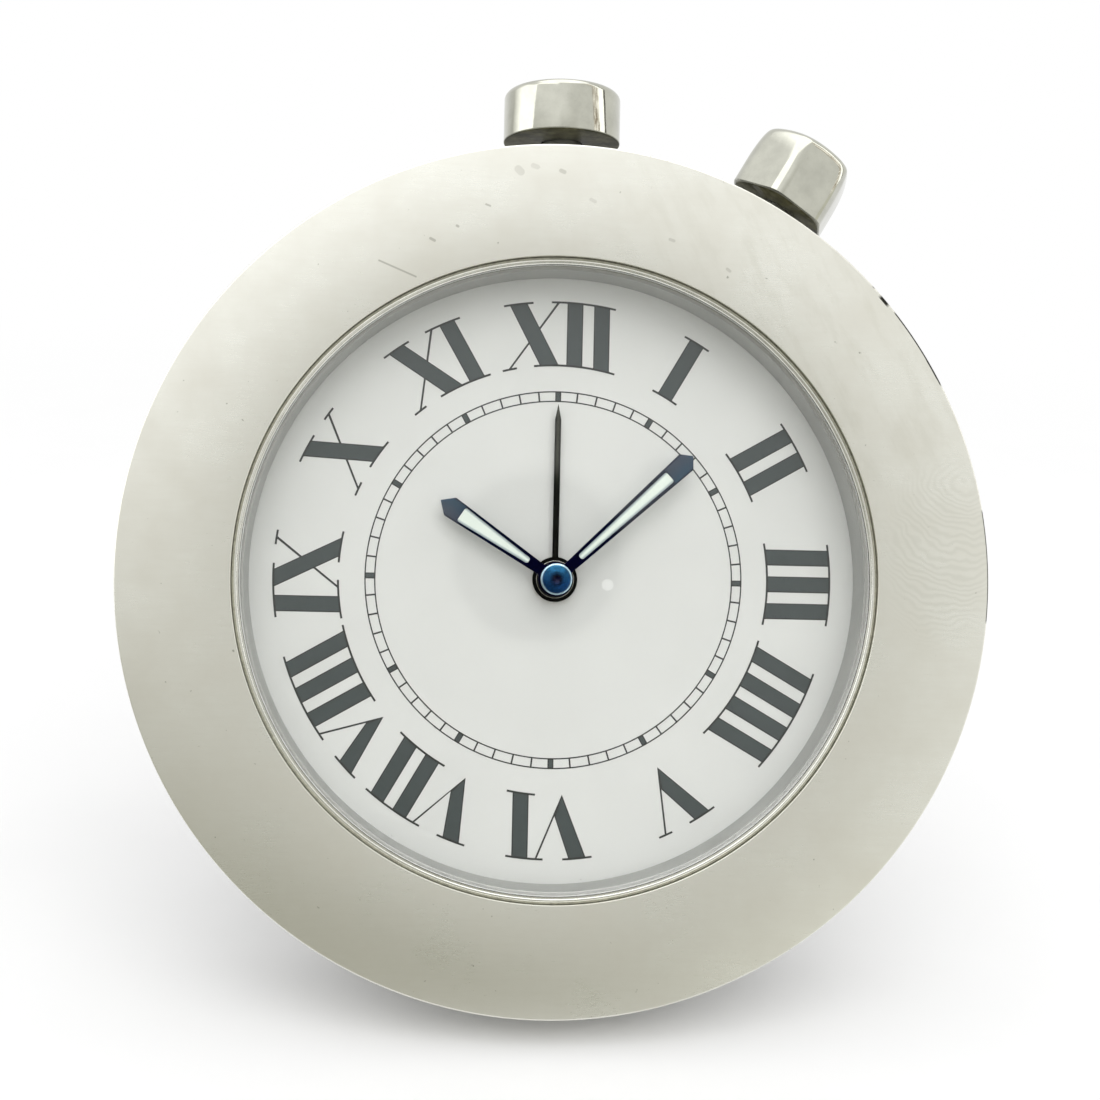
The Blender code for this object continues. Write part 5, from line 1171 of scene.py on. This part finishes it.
def x_strokes(x):
    thick_foot, thick_top = (x + X_FOOT_START, x + X_WIDTH), (x, x + X_TOP_WIDTH)
    foot, top = x + X_THIN_FOOT, x + X_THIN_TOP
    thin = stroke(foot - X_THIN_HALF, foot + X_THIN_HALF, top - X_THIN_HALF, top + X_THIN_HALF)
    upper = [serif(*thick_top), thin_serif(top)]
    lower = [serif(*thick_foot), thin_serif(foot)]
    return [stroke(*thick_foot, *thick_top)], [thin], upper, lower


def v_strokes(x, numeral):
    foot_x, notch_x, notch_y = V_FEET[numeral]
    foot, notch = (x + foot_x, V_FOOT), (x + notch_x, notch_y)
    top = x + V_THIN_TOP
    thick = [foot, notch, on_arc(x + V_TOP_WIDTH, NUMERAL_TOP), on_arc(x, NUMERAL_TOP)]
    thin = [foot, on_arc(top + V_THIN_HALF, NUMERAL_TOP), on_arc(top - V_THIN_HALF, NUMERAL_TOP), notch]
    return [thick], [thin], [serif(x, x + V_TOP_WIDTH), thin_serif(top)], []


def numeral_strokes(numeral):
    """Thick strokes, thin strokes and the serif intervals at the top and the bottom of a numeral."""
    starts = [0.0]
    for letter, following in zip(numeral, numeral[1:]):
        step = BAR_PITCH if letter == "I" else LETTER_TO_BAR
        if letter == "I" and following == "X":
            step = BAR_TO_X
        starts.append(starts[-1] + step)
    width = starts[-1] + {"I": BAR_WIDTH, "V": V_WIDTH, "X": X_WIDTH}[numeral[-1]]
    left = NUMERAL_SHIFTS.get(numeral, 0.0) - width / 2
    gathered = ([], [], [], [])
    for letter, start in zip(numeral, starts):
        if letter == "I":
            strokes = bar_strokes(left + start)
        elif letter == "X":
            strokes = x_strokes(left + start)
        else:
            strokes = v_strokes(left + start, numeral)
        for all_found, found in zip(gathered, strokes):
            all_found.extend(found)
    return gathered


def add_flat(shape, points, turn, layer, material=0):
    """A flat patch of ink, turned clockwise from 12 o'clock and raised by its layer."""
    sine, cosine = math.sin(turn), math.cos(turn)
    corners = []
    for x, y in points:
        place = (x * cosine + y * sine, y * cosine - x * sine, layer * PRINT_STEP)
        corners.append(shape.verts.new(place))
    patch = shape.faces.new(corners)
    patch.normal_update()
    if patch.normal.z < 0:
        patch.normal_flip()
    patch.material_index = material


def add_band(shape, radius, thickness, start, end, turn, layer):
    """A thin band along a circle, between two distances along it."""
    steps = max(2, math.ceil((end - start) / TICK_WIDTH / 4))
    outer, inner = [], []
    for step in range(steps + 1):
        angle = (start + (end - start) * step / steps) / radius
        for edge, offset in ((outer, thickness / 2), (inner, -thickness / 2)):
            edge.append(((radius + offset) * math.sin(angle), (radius + offset) * math.cos(angle)))
    for index in range(steps):
        patch = [outer[index], outer[index + 1], inner[index + 1], inner[index]]
        add_flat(shape, patch, turn, layer)


def add_numerals(shape):
    for hour, numeral in enumerate(NUMERALS):
        turn = math.radians(360) * hour / HOURS
        thick, thin, upper, lower = numeral_strokes(numeral)
        for points in thin:
            add_flat(shape, points, turn, 1)
        for points in thick:
            add_flat(shape, points, turn, 2)
            add_flat(shape, inset(points, FILL_INSET), turn, 4, 1)
        for radius, intervals in ((NUMERAL_TOP, upper), (NUMERAL_BOTTOM, lower)):
            for start, end in merged(intervals):
                add_band(shape, radius, SERIF_THICKNESS, start, end, turn, 3)


def add_track(shape):
    """The minute track: two fine circles, a line at each minute and a block at each hour."""
    for radius in (TRACK_INNER, TRACK_OUTER):
        add_band(shape, radius, TRACK_LINE, 0, math.radians(360) * radius, 0, 1)
    for tick in range(TICKS):
        on_hour = tick % (TICKS // HOURS) == 0
        half = (BLOCK_WIDTH if on_hour else TICK_WIDTH) / 2
        points = rectangle(-half, half, TRACK_INNER, TRACK_OUTER)
        turn = math.radians(360) * tick / TICKS
        add_flat(shape, points, turn, 2)
        if on_hour:
            add_flat(shape, inset(points, FILL_INSET), turn, 3, 1)


def make_print():
    """Numerals and minute track as patches of ink just above the dial: dark edges under lighter fills."""
    shape = bmesh.new()
    add_numerals(shape)
    add_track(shape)
    matrix = FACE @ Matrix.Translation((0, 0, -depths("dial")[0]))
    piece = add_piece("dial_print", shape, "print_edge", (), matrix)
    piece.data.materials.append(MATERIALS["print_fill"])


# Hands


def hand_frame(node):
    """A frame on the hands' axis whose Y runs along the hand and whose Z is zero on the bezel's front."""
    tip = max(node_points(node, FACE), key=lambda point: math.hypot(point.x, point.y))
    return FACE @ Matrix.Rotation(-math.atan2(tip.x, tip.y), 4, "Z")


def hub_arc(radius, half):
    """Points round a hub, from one side of a blade of that half width to the other."""
    start = math.atan2(math.sqrt(radius**2 - half**2), half)
    sweep = math.radians(180) + 2 * start
    steps = SMALL_LATHE_STEPS
    angles = (math.radians(180) - start + sweep * step / steps for step in range(steps + 1))
    return [polar_point(radius, angle) for angle in angles]


def lume_outline(hand, grow):
    """A tapered window with a rounded hub end and slightly rounded far corners."""
    near, far = (width / 2 + grow for width in hand.lume_widths)
    start, end = LUME_START - grow, hand.lume_end + grow
    hub_round = near * LUME_HUB_ROUND_SHARE
    hub_end = [(-near, start, hub_round), (near, start, hub_round)]
    return fillet(hub_end + [(far, end, LUME_CORNER), (-far, end, LUME_CORNER)])


def make_sword_hand(hand, hub_radius):
    """A blued hand with bevelled edges, and its luminous insert in a window."""
    node = f"{hand.name}_hand"
    matrix = hand_frame(node)
    front, back = depths(node)
    bore, length = radii(node, matrix)
    waist, half = hand.waist_width / 2, hand.width / 2
    outline = hub_arc(hub_radius, hand.hub_width / 2)
    outline += [(waist, hand.lume_end), (half, hand.shoulder), (0, length)]
    outline += [(-half, hand.shoulder), (-waist, hand.lume_end)]
    blade = slab_shape(outline, -back, -front)
    piece = add_piece(f"{hand.name}_blade", blade, hand.blued, [node], matrix, hand.name)
    holes = (lume_outline(hand, 0), circle(bore, SMALL_LATHE_STEPS))
    carve(piece, [cut_through(hole, front, back) for hole in holes])
    soften(piece, HAND_BEVEL)
    insert = slab_shape(lume_outline(hand, -LUME_GAP), -back, -front - LUME_SINK)
    add_piece(f"{hand.name}_insert", insert, hand.lume, [f"{node}_lume"], matrix, hand.name)


def make_alarm_hand():
    """A thin black needle, with a polished collar and a dark seat around the other hands' pipes."""
    matrix = hand_frame("alarm_hand")
    front, back = depths("alarm_hand")
    bore, length = radii("alarm_hand", matrix)
    half = ALARM_WIDTH / 2
    outline = hub_arc(spans("alarm_hand", matrix)[1].x, half)
    outline += [(half, length - ALARM_POINT), (0, length), (-half, length - ALARM_POINT)]
    needle = slab_shape(outline, -back, -front)
    piece = add_piece("alarm_needle", needle, "alarm_black", ["alarm_hand"], matrix, "alarm")
    carve(piece, [cut_through(circle(bore, SMALL_LATHE_STEPS), front, back)])
    soften(piece, HAND_BEVEL)
    rise = -front + COLLAR_RISE
    collar = [
        (COLLAR_INNER, rise, HAND_BEVEL / 2),
        (COLLAR_OUTER, rise, HAND_BEVEL / 2),
        (COLLAR_OUTER, -back),
        (COLLAR_INNER, -back),
    ]
    top = -front + SEAT_RISE
    seat = [(SEAT_INNER, top), (COLLAR_INNER, top)]
    seat += [(COLLAR_INNER, top - SEAT_THICKNESS), (SEAT_INNER, top - SEAT_THICKNESS)]
    where = {"body": "alarm", "steps": SMALL_LATHE_STEPS}
    turned_piece("alarm_collar", collar, "polished_steel", "polished_steel", **where)
    turned_piece("alarm_seat", seat, "alarm_black", "alarm_black", **where)


def make_cap():
    """A domed cap with a dimple in its middle."""
    front, back = depths("hand_cap")
    radius = radii("hand_cap")[1]
    shoulder = -front - CAP_DOME
    outline = [(0, -back), (radius, -back), (radius, shoulder - CAP_RIM / 2)]
    steps = FILLET_STEPS * 3
    for step in range(steps + 1):
        share = step / steps
        rise = math.sin(math.radians(90) * share) ** CAP_DOME_POWER
        outline.append((radius + (CAP_DIMPLE_RADIUS - radius) * share, shoulder + CAP_DOME * rise))
    for step in range(1, FILLET_STEPS + 1):
        share = step / FILLET_STEPS
        drop = (1 - math.cos(math.radians(180) * share)) / 2
        outline.append((CAP_DIMPLE_RADIUS * (1 - share), -front - CAP_DIMPLE_DEPTH * drop))
    turned_piece("cap_dome", outline, "cap_blue", "cap_blue", ["hand_cap"], FACE, "minute", SMALL_LATHE_STEPS)


# Button and crown


def make_button():
    low, high = heights("push_button_cap", BUTTON_FRAME)
    bore = radii("button_tube", BUTTON_FRAME)[1] + SEAM_ROUND
    outer = radii("push_button_cap", BUTTON_FRAME)[1]
    ceiling = high - BUTTON_ROUND * 2
    corners = [
        (0, high),
        (outer, high, BUTTON_ROUND),
        (outer, low, BUTTON_BASE_ROUND),
        (bore, low, SEAM_ROUND / 2),
        (bore, ceiling),
        (0, ceiling),
    ]
    turned_piece("button_head", corners, "button_steel", "polished_steel", ["push_button_cap"], BUTTON_FRAME,
                 "button", SMALL_LATHE_STEPS * 2)


def make_spring():
    """The button's return spring."""
    low, high = heights("button_spring", BUTTON_FRAME)
    inner, outer = radii("button_spring", BUTTON_FRAME)
    wire, coil = (outer - inner) / 2, (outer + inner) / 2
    section = circle(wire, SPRING_SIDES)
    count = SPRING_TURNS * SPRING_STEPS
    shape = bmesh.new()
    rings = []
    for step in range(count + 1):
        angle = math.radians(360) * step / SPRING_STEPS
        height = low + wire + (high - low - 2 * wire) * step / count
        places = ((*polar_point(coil + across, angle), height + rise) for across, rise in section)
        rings.append([shape.verts.new(place) for place in places])
    for first, second in zip(rings, rings[1:]):
        join_rings(shape, first, second)
    shape.faces.new(rings[0])
    shape.faces.new(rings[-1])
    bmesh.ops.recalc_face_normals(shape, faces=shape.faces[:])
    replaced = ["button_spring"]
    spring = add_piece("return_spring", shape, "polished_steel", replaced, BUTTON_FRAME)
    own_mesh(spring)


def make_tube(name, node, matrix):
    inner, outer = radii(node, matrix)
    low, high = heights(node, matrix)
    corners = [(inner, high), (outer, high, TUBE_ROUND), (outer, low), (inner, low)]
    turned_piece(name, corners, "turned_steel", "brushed_steel", [node], matrix, steps=SMALL_LATHE_STEPS)


def crown_radius(angle, corner):
    """The crown's rounded hexagon: how far out it reaches at that angle."""
    half = math.radians(180) / CROWN_SIDES
    inset_corner = corner - CROWN_CORNER_ROUND
    flat = inset_corner * math.cos(half) + CROWN_CORNER_ROUND
    offset = (angle - math.radians(CROWN_TURN_DEGREES)) % (2 * half)
    from_corner = min(offset, 2 * half - offset)
    if half - from_corner <= math.atan2(inset_corner * math.sin(half), flat):
        return flat / math.cos(half - from_corner)
    across = inset_corner * math.sin(from_corner)
    return inset_corner * math.cos(from_corner) + math.sqrt(CROWN_CORNER_ROUND**2 - across**2)


def lesser(first, second):
    """The lesser of two values, with a smooth change from one to the other."""
    return (first + second - math.hypot(first - second, CROWN_BLEND)) / 2


def crown_profile(low, high, corner):
    """Reaches and heights up the crown's side and over its dome, before the hexagon cuts them."""
    wide = corner + CROWN_BLEND
    chamfer = CROWN_BASE_CHAMFER
    side_start, dome_start = low + chamfer, high - CROWN_DOME_HEIGHT
    profile = [(corner - chamfer * 3, low), (corner - chamfer, low + chamfer / 2)]
    for step in range(CROWN_STEPS_UP + 1):
        profile.append((wide, side_start + (dome_start - side_start) * step / CROWN_STEPS_UP))
    steps = CROWN_STEPS_UP * 2
    for step in range(1, steps):
        angle = math.radians(90) * (step / steps) ** CROWN_DOME_SPACING
        across, rise = (share ** (2 / CROWN_DOME_POWER) for share in (math.cos(angle), math.sin(angle)))
        profile.append((wide * across, dome_start + CROWN_DOME_HEIGHT * rise))
    return profile


def make_crown():
    """A hexagon with rounded corners whose flats curve in gently and run into a domed top."""
    low, high = heights("crown", CROWN_FRAME)
    corner = radii("crown", CROWN_FRAME)[1] + CROWN_BLEND / 4
    tube = radii("crown_tube", CROWN_FRAME)[1] + SEAM_ROUND
    shape = bmesh.new()
    rings = [[shape.verts.new((0, 0, low + CROWN_BASE_CHAMFER))]]
    for height in (low + CROWN_BASE_CHAMFER, low):
        rings.append([shape.verts.new((x, y, height)) for x, y in circle(tube, CROWN_STEPS_AROUND)])
    for across, height in crown_profile(low, high, corner):
        sink = 1 - CROWN_PILLOW * max(0, height - low - CROWN_PILLOW_START) ** 2
        ring = []
        for step in range(CROWN_STEPS_AROUND):
            angle = math.radians(360) * step / CROWN_STEPS_AROUND
            reach = lesser(across, crown_radius(angle, corner) * sink)
            ring.append(shape.verts.new((*polar_point(reach, angle), height)))
        rings.append(ring)
    rings.append([shape.verts.new((0, 0, high))])
    for first, second in zip(rings, rings[1:]):
        join_rings(shape, first, second)
    bmesh.ops.recalc_face_normals(shape, faces=shape.faces[:])
    add_piece("crown_head", shape, "crown_steel", ["crown"], CROWN_FRAME, "crown_turn")


# Back


def screw_place(node):
    """A screw's middle in the face's frame, and its head's radius."""
    low, high = spans(node)
    return (low + high) / 2, (high.x - low.x) / 2


def make_cover():
    """The back cover with its recess for the leg, and its holes for the hatch and the screws."""
    radius = radii("back_cover")[1]
    front, back = depths("back_cover")
    disc_front = depths("back_gasket")[1]
    leg_high = spans("stand_leg", LEG_FRAME)[1]
    hinge = (FACE.inverted() @ Vector(HINGE_JOINT["pos_m"])).y
    half = leg_high.x + RECESS_SIDE_GAP
    bottom, top = hinge - RECESS_DROP, hinge + leg_high.y + RECESS_TOP_GAP
    corners = [(0, -back), (radius, -back), (radius, -disc_front), (0, -disc_front)]
    cover = turned_piece("cover_disc", corners, "turned_steel", "brushed_steel", ["back_cover"])
    wall = RECESS_WALL
    tray = rectangle(-half - wall, half + wall, bottom - wall, top + wall)
    carve(cover, [slab_shape(tray, -(disc_front + back) / 2, -front)], "UNION")
    recess = rectangle(-half, half, bottom, top, RECESS_ROUND)
    hatch_middle = FACE.inverted() @ HATCH_FRAME.translation
    hatch_hole = radii("battery_hatch", HATCH_FRAME)[1] + HATCH_GAP
    holes = [circle(hatch_hole, SMALL_LATHE_STEPS, hatch_middle)]
    for number in range(1, SCREWS + 1):
        middle, head = screw_place(f"back_screw_{number}")
        holes.append(circle(head + SCREW_GAP, SMALL_LATHE_STEPS // 2, middle))
    cuts = [slab_shape(recess, -back - CUT_OVERRUN, -front - RECESS_FLOOR)]
    carve(cover, cuts + [cut_through(hole, disc_front, back) for hole in holes])
    soften(cover, COVER_EDGE, 2)


def stepped_disc(node, head, neck, flange, edge):
    """The outline of a disc on a narrower neck, rounded at its back."""
    front, back = depths(node)
    return [
        (0, -back),
        (head, -back, edge),
        (head, flange - back),
        (neck, flange - back),
        (neck, -front),
        (0, -front),
    ]


def carve_slot(piece, node, outline, depth):
    """Cuts a slot of that outline and depth into the back of a piece."""
    back = depths(node)[1]
    carve(piece, [slab_shape(outline, -back - CUT_OVERRUN, -back + depth)])


def make_hatch():
    node = "battery_hatch"
    radius = radii(node, HATCH_FRAME)[1]
    corners = stepped_disc(node, radius, radius - HATCH_STEP, HATCH_FLANGE, HATCH_EDGE)
    where = {"matrix": HATCH_FRAME, "steps": SMALL_LATHE_STEPS * 2}
    hatch = turned_piece("hatch_disc", corners, "turned_steel", "brushed_steel", [node], **where)
    length, width, corner = HATCH_SLOT
    carve_slot(hatch, node, rectangle(-length, length, -width, width, corner), HATCH_SLOT_DEPTH)
    soften(hatch, HATCH_EDGE / 2, 2)


def make_screws():
    for number in range(1, SCREWS + 1):
        node = f"back_screw_{number}"
        middle, head = screw_place(node)
        corners = stepped_disc(node, head, SCREW_SHANK, SCREW_HEAD, SCREW_EDGE)
        turn = Matrix.Rotation(math.radians(SCREW_TURN_DEGREES) * number, 4, "Z")
        place = Matrix.Translation((middle.x, middle.y, 0))
        where = {"matrix": FACE @ place @ turn, "steps": SMALL_LATHE_STEPS // 2}
        screw = turned_piece(f"cover_screw_{number}", corners, "nickel", "nickel", [node], **where)
        reach = head + CUT_OVERRUN
        carve_slot(screw, node, rectangle(-reach, reach, -SCREW_SLOT_HALF, SCREW_SLOT_HALF), SCREW_SLOT_DEPTH)
        soften(screw, SCREW_EDGE / 3, 2)


def make_leg():
    """A flat plate whose foot is bevelled and whose other end rounds the hinge pin."""
    low, high = spans("stand_leg", LEG_FRAME)
    knuckle = -low.z
    points = node_points("stand_leg", LEG_FRAME)
    outer_reach = max(point.y for point in points if point.z < low.z + TOUCH)
    meeting = math.asin(high.z / knuckle)
    steps = SMALL_LATHE_STEPS // 2
    angles = (meeting + (math.radians(270) - meeting) * step / steps for step in range(steps + 1))
    side = [(outer_reach, low.z), (high.y, high.z)] + [polar_point(knuckle, angle) for angle in angles]
    plate = slab_shape(side, low.x, high.x, "x")
    leg = add_piece("leg_plate", plate, "brushed_steel", ["stand_leg"], LEG_FRAME, "stand")
    soften(leg, LEG_EDGE)


def dress_cad_nodes():
    """The nodes that are not replaced get the procedural material of their slot."""
    slots = {part["node"]: part["material_slot"] for part in frame["record"]["subparts"]}
    for name, node in frame["nodes"].items():
        node.data.materials.clear()
        node.data.materials.append(MATERIALS[slots[name]])


# Stage


def make_floor():
    shape = bmesh.new()
    far = FLOOR_HALF
    shape.faces.new([shape.verts.new((x, y, 0)) for x, y in rectangle(-far, far, -far, far)])
    floor = new_object("floor", shape)
    floor.data.materials.append(floor_material())


def room_spot(tree, way, place, size):
    """1 in a round soft spot of the room; the place is given in the face frame, the size in degrees."""
    centre = (FACE.to_3x3() @ Vector(place)).normalized()
    nearness = vector_maths(tree, "DOT_PRODUCT", way, centre, "Value")
    outer, inner = (math.cos(math.radians(size * share)) for share in (1 + SPOT_SOFTNESS, 1 - SPOT_SOFTNESS))
    return spread(tree, nearness, outer, inner, smooth=True)


def room_colour(tree, way):
    """The room as polished metal sees it: brighter above and to the right, with white panels and spots."""
    parts = split(tree, way)
    turn = maths(tree, "ARCTAN2", parts["X"], product(tree, parts["Y"], -1.0))
    turn = product(tree, turn, math.degrees(1))
    tilt = product(tree, maths(tree, "ARCSINE", parts["Z"]), math.degrees(1))
    level = spread(tree, tilt, *ROOM_TILTS)
    right = spread(tree, tilt, *ROOM_RIGHT_TILTS, ROOM_RIGHT_LEVEL, ROOM_RIGHT_TOP)
    level = blend_levels(tree, spread(tree, turn, *ROOM_RIGHT_TURNS, smooth=True), level, right)
    far_right = spread(tree, turn, *ROOM_FAR_RIGHT_TURNS, smooth=True)
    level = blend_levels(tree, far_right, level, ROOM_FAR_RIGHT_LEVEL)
    left = spread(tree, turn, *ROOM_LEFT_TURNS, 0.0, ROOM_LEFT_RISE, smooth=True)
    level = maths(tree, "MINIMUM", maths(tree, "ADD", level, left), 1.0)
    room = blend(tree, level, ROOM_DARK, ROOM_BRIGHT)
    behind = spread(tree, maths(tree, "ABSOLUTE", turn), *ROOM_BEHIND_TURNS, smooth=True)
    room = blend(tree, behind, room, ROOM_BEHIND)
    mottle = spread(tree, noise(tree, way, 16.0, 4.0, 0.7), 0.42, 0.60)
    mottle = blend(tree, mottle, rgb(0.45, 0.38, 0.29), rgb(1.7, 1.65, 1.55))
    room = blend(tree, band(tree, turn, *MOTTLE_TURNS), room, mottle)
    panel = product(tree, band(tree, turn, *PANEL_TURNS), spread(tree, tilt, *PANEL_TILTS))
    window = product(tree, band(tree, turn, *WINDOW_TURNS), spread(tree, tilt, *WINDOW_TILTS))
    strip, overhead = band(tree, turn, *STRIP_TURNS), spread(tree, tilt, *OVERHEAD_TILTS)
    room = blend(tree, greatest(tree, panel, strip, window, overhead), room, ROOM_PANEL)
    edge = product(tree, band(tree, turn, *DARK_EDGE_TURNS), spread(tree, tilt, *DARK_EDGE_TILTS))
    room = blend(tree, edge, room, rgb(0.10, 0.09, 0.07))
    room = blend(tree, room_spot(tree, way, LENS_PLACE, LENS_SIZE), room, rgb(0.02, 0.02, 0.02))
    return blend(tree, room_spot(tree, way, GLINT_PLACE, GLINT_SIZE), room, rgb(2.4, 2.4, 2.4))


def make_world():
    """A pale room as light, a painted one for metal and glass, and plain white behind the object."""
    world = bpy.data.worlds.new("studio")
    bpy.context.scene.world = world
    world.use_nodes = True
    tree = world.node_tree
    tree.nodes.clear()
    rays = light_path(tree)
    way = add(tree, "ShaderNodeTexCoord").outputs["Generated"]
    through = rays["Is Transmission Ray"]
    colour = blend(tree, greatest(tree, rays["Is Glossy Ray"], through), ROOM_LIGHT, room_colour(tree, way))
    behind = product(tree, through, maths(tree, "GREATER_THAN", split(tree, way)["Y"], 0.0))
    colour = blend(tree, greatest(tree, rays["Is Camera Ray"], behind), colour, rgb(1, 1, 1))
    glazed = product(tree, through, maths(tree, "MINIMUM", rays["Diffuse Depth"], 1.0))
    colour = blend(tree, glazed, colour, GLAZED_LIGHT)
    background = add(tree, "ShaderNodeBackground", {"Color": colour, "Strength": 1.0}).outputs[0]
    tree.links.new(background, add(tree, "ShaderNodeOutputWorld").inputs["Surface"])


def make_lamp():
    """A soft square lamp in front and above, which polished surfaces don't mirror."""
    data = bpy.data.lights.new("front_softbox", "AREA")
    data.shape = "RECTANGLE"
    data.size = data.size_y = LAMP_SIZE
    data.energy = LAMP_POWER
    lamp = bpy.data.objects.new("front_softbox", data)
    lamp.visible_glossy = False
    bpy.context.scene.collection.objects.link(lamp)
    place = Vector(LAMP_PLACE)
    aim = (Vector(LAMP_TARGET) - place).to_track_quat("-Z", "Y").to_matrix().to_4x4()
    lamp.matrix_world = Matrix.Translation(place) @ aim


def make_camera():
    data = bpy.data.cameras.new("camera")
    data.lens = CAMERA_LENS
    data.sensor_width = SENSOR_WIDTH
    data.clip_start, data.clip_end = CAMERA_CLIP
    camera = bpy.data.objects.new("camera", data)
    bpy.context.scene.collection.objects.link(camera)
    turn = Euler([math.radians(angle) for angle in CAMERA_TURN_DEGREES], "XYZ").to_matrix().to_4x4()
    camera.matrix_world = FACE @ Matrix.Translation(CAMERA_PLACE) @ turn
    bpy.context.scene.camera = camera


MATERIALS = make_materials()
dress_cad_nodes()
make_bezel()
make_case()
make_retainer()
make_gasket()
make_crystal()
make_flange()
make_dial()
make_print()
make_sword_hand(MINUTE_HAND, radii("hand_cap")[1])
make_sword_hand(HOUR_HAND, HOUR_HUB_RADIUS)
make_alarm_hand()
make_cap()
make_button()
make_spring()
make_tube("button_neck", "button_tube", BUTTON_FRAME)
make_crown()
make_tube("crown_neck", "crown_tube", CROWN_FRAME)
make_cover()
make_hatch()
make_screws()
make_leg()
make_floor()
make_world()
make_lamp()
make_camera()
bpy.context.scene.view_settings.view_transform = "Standard"
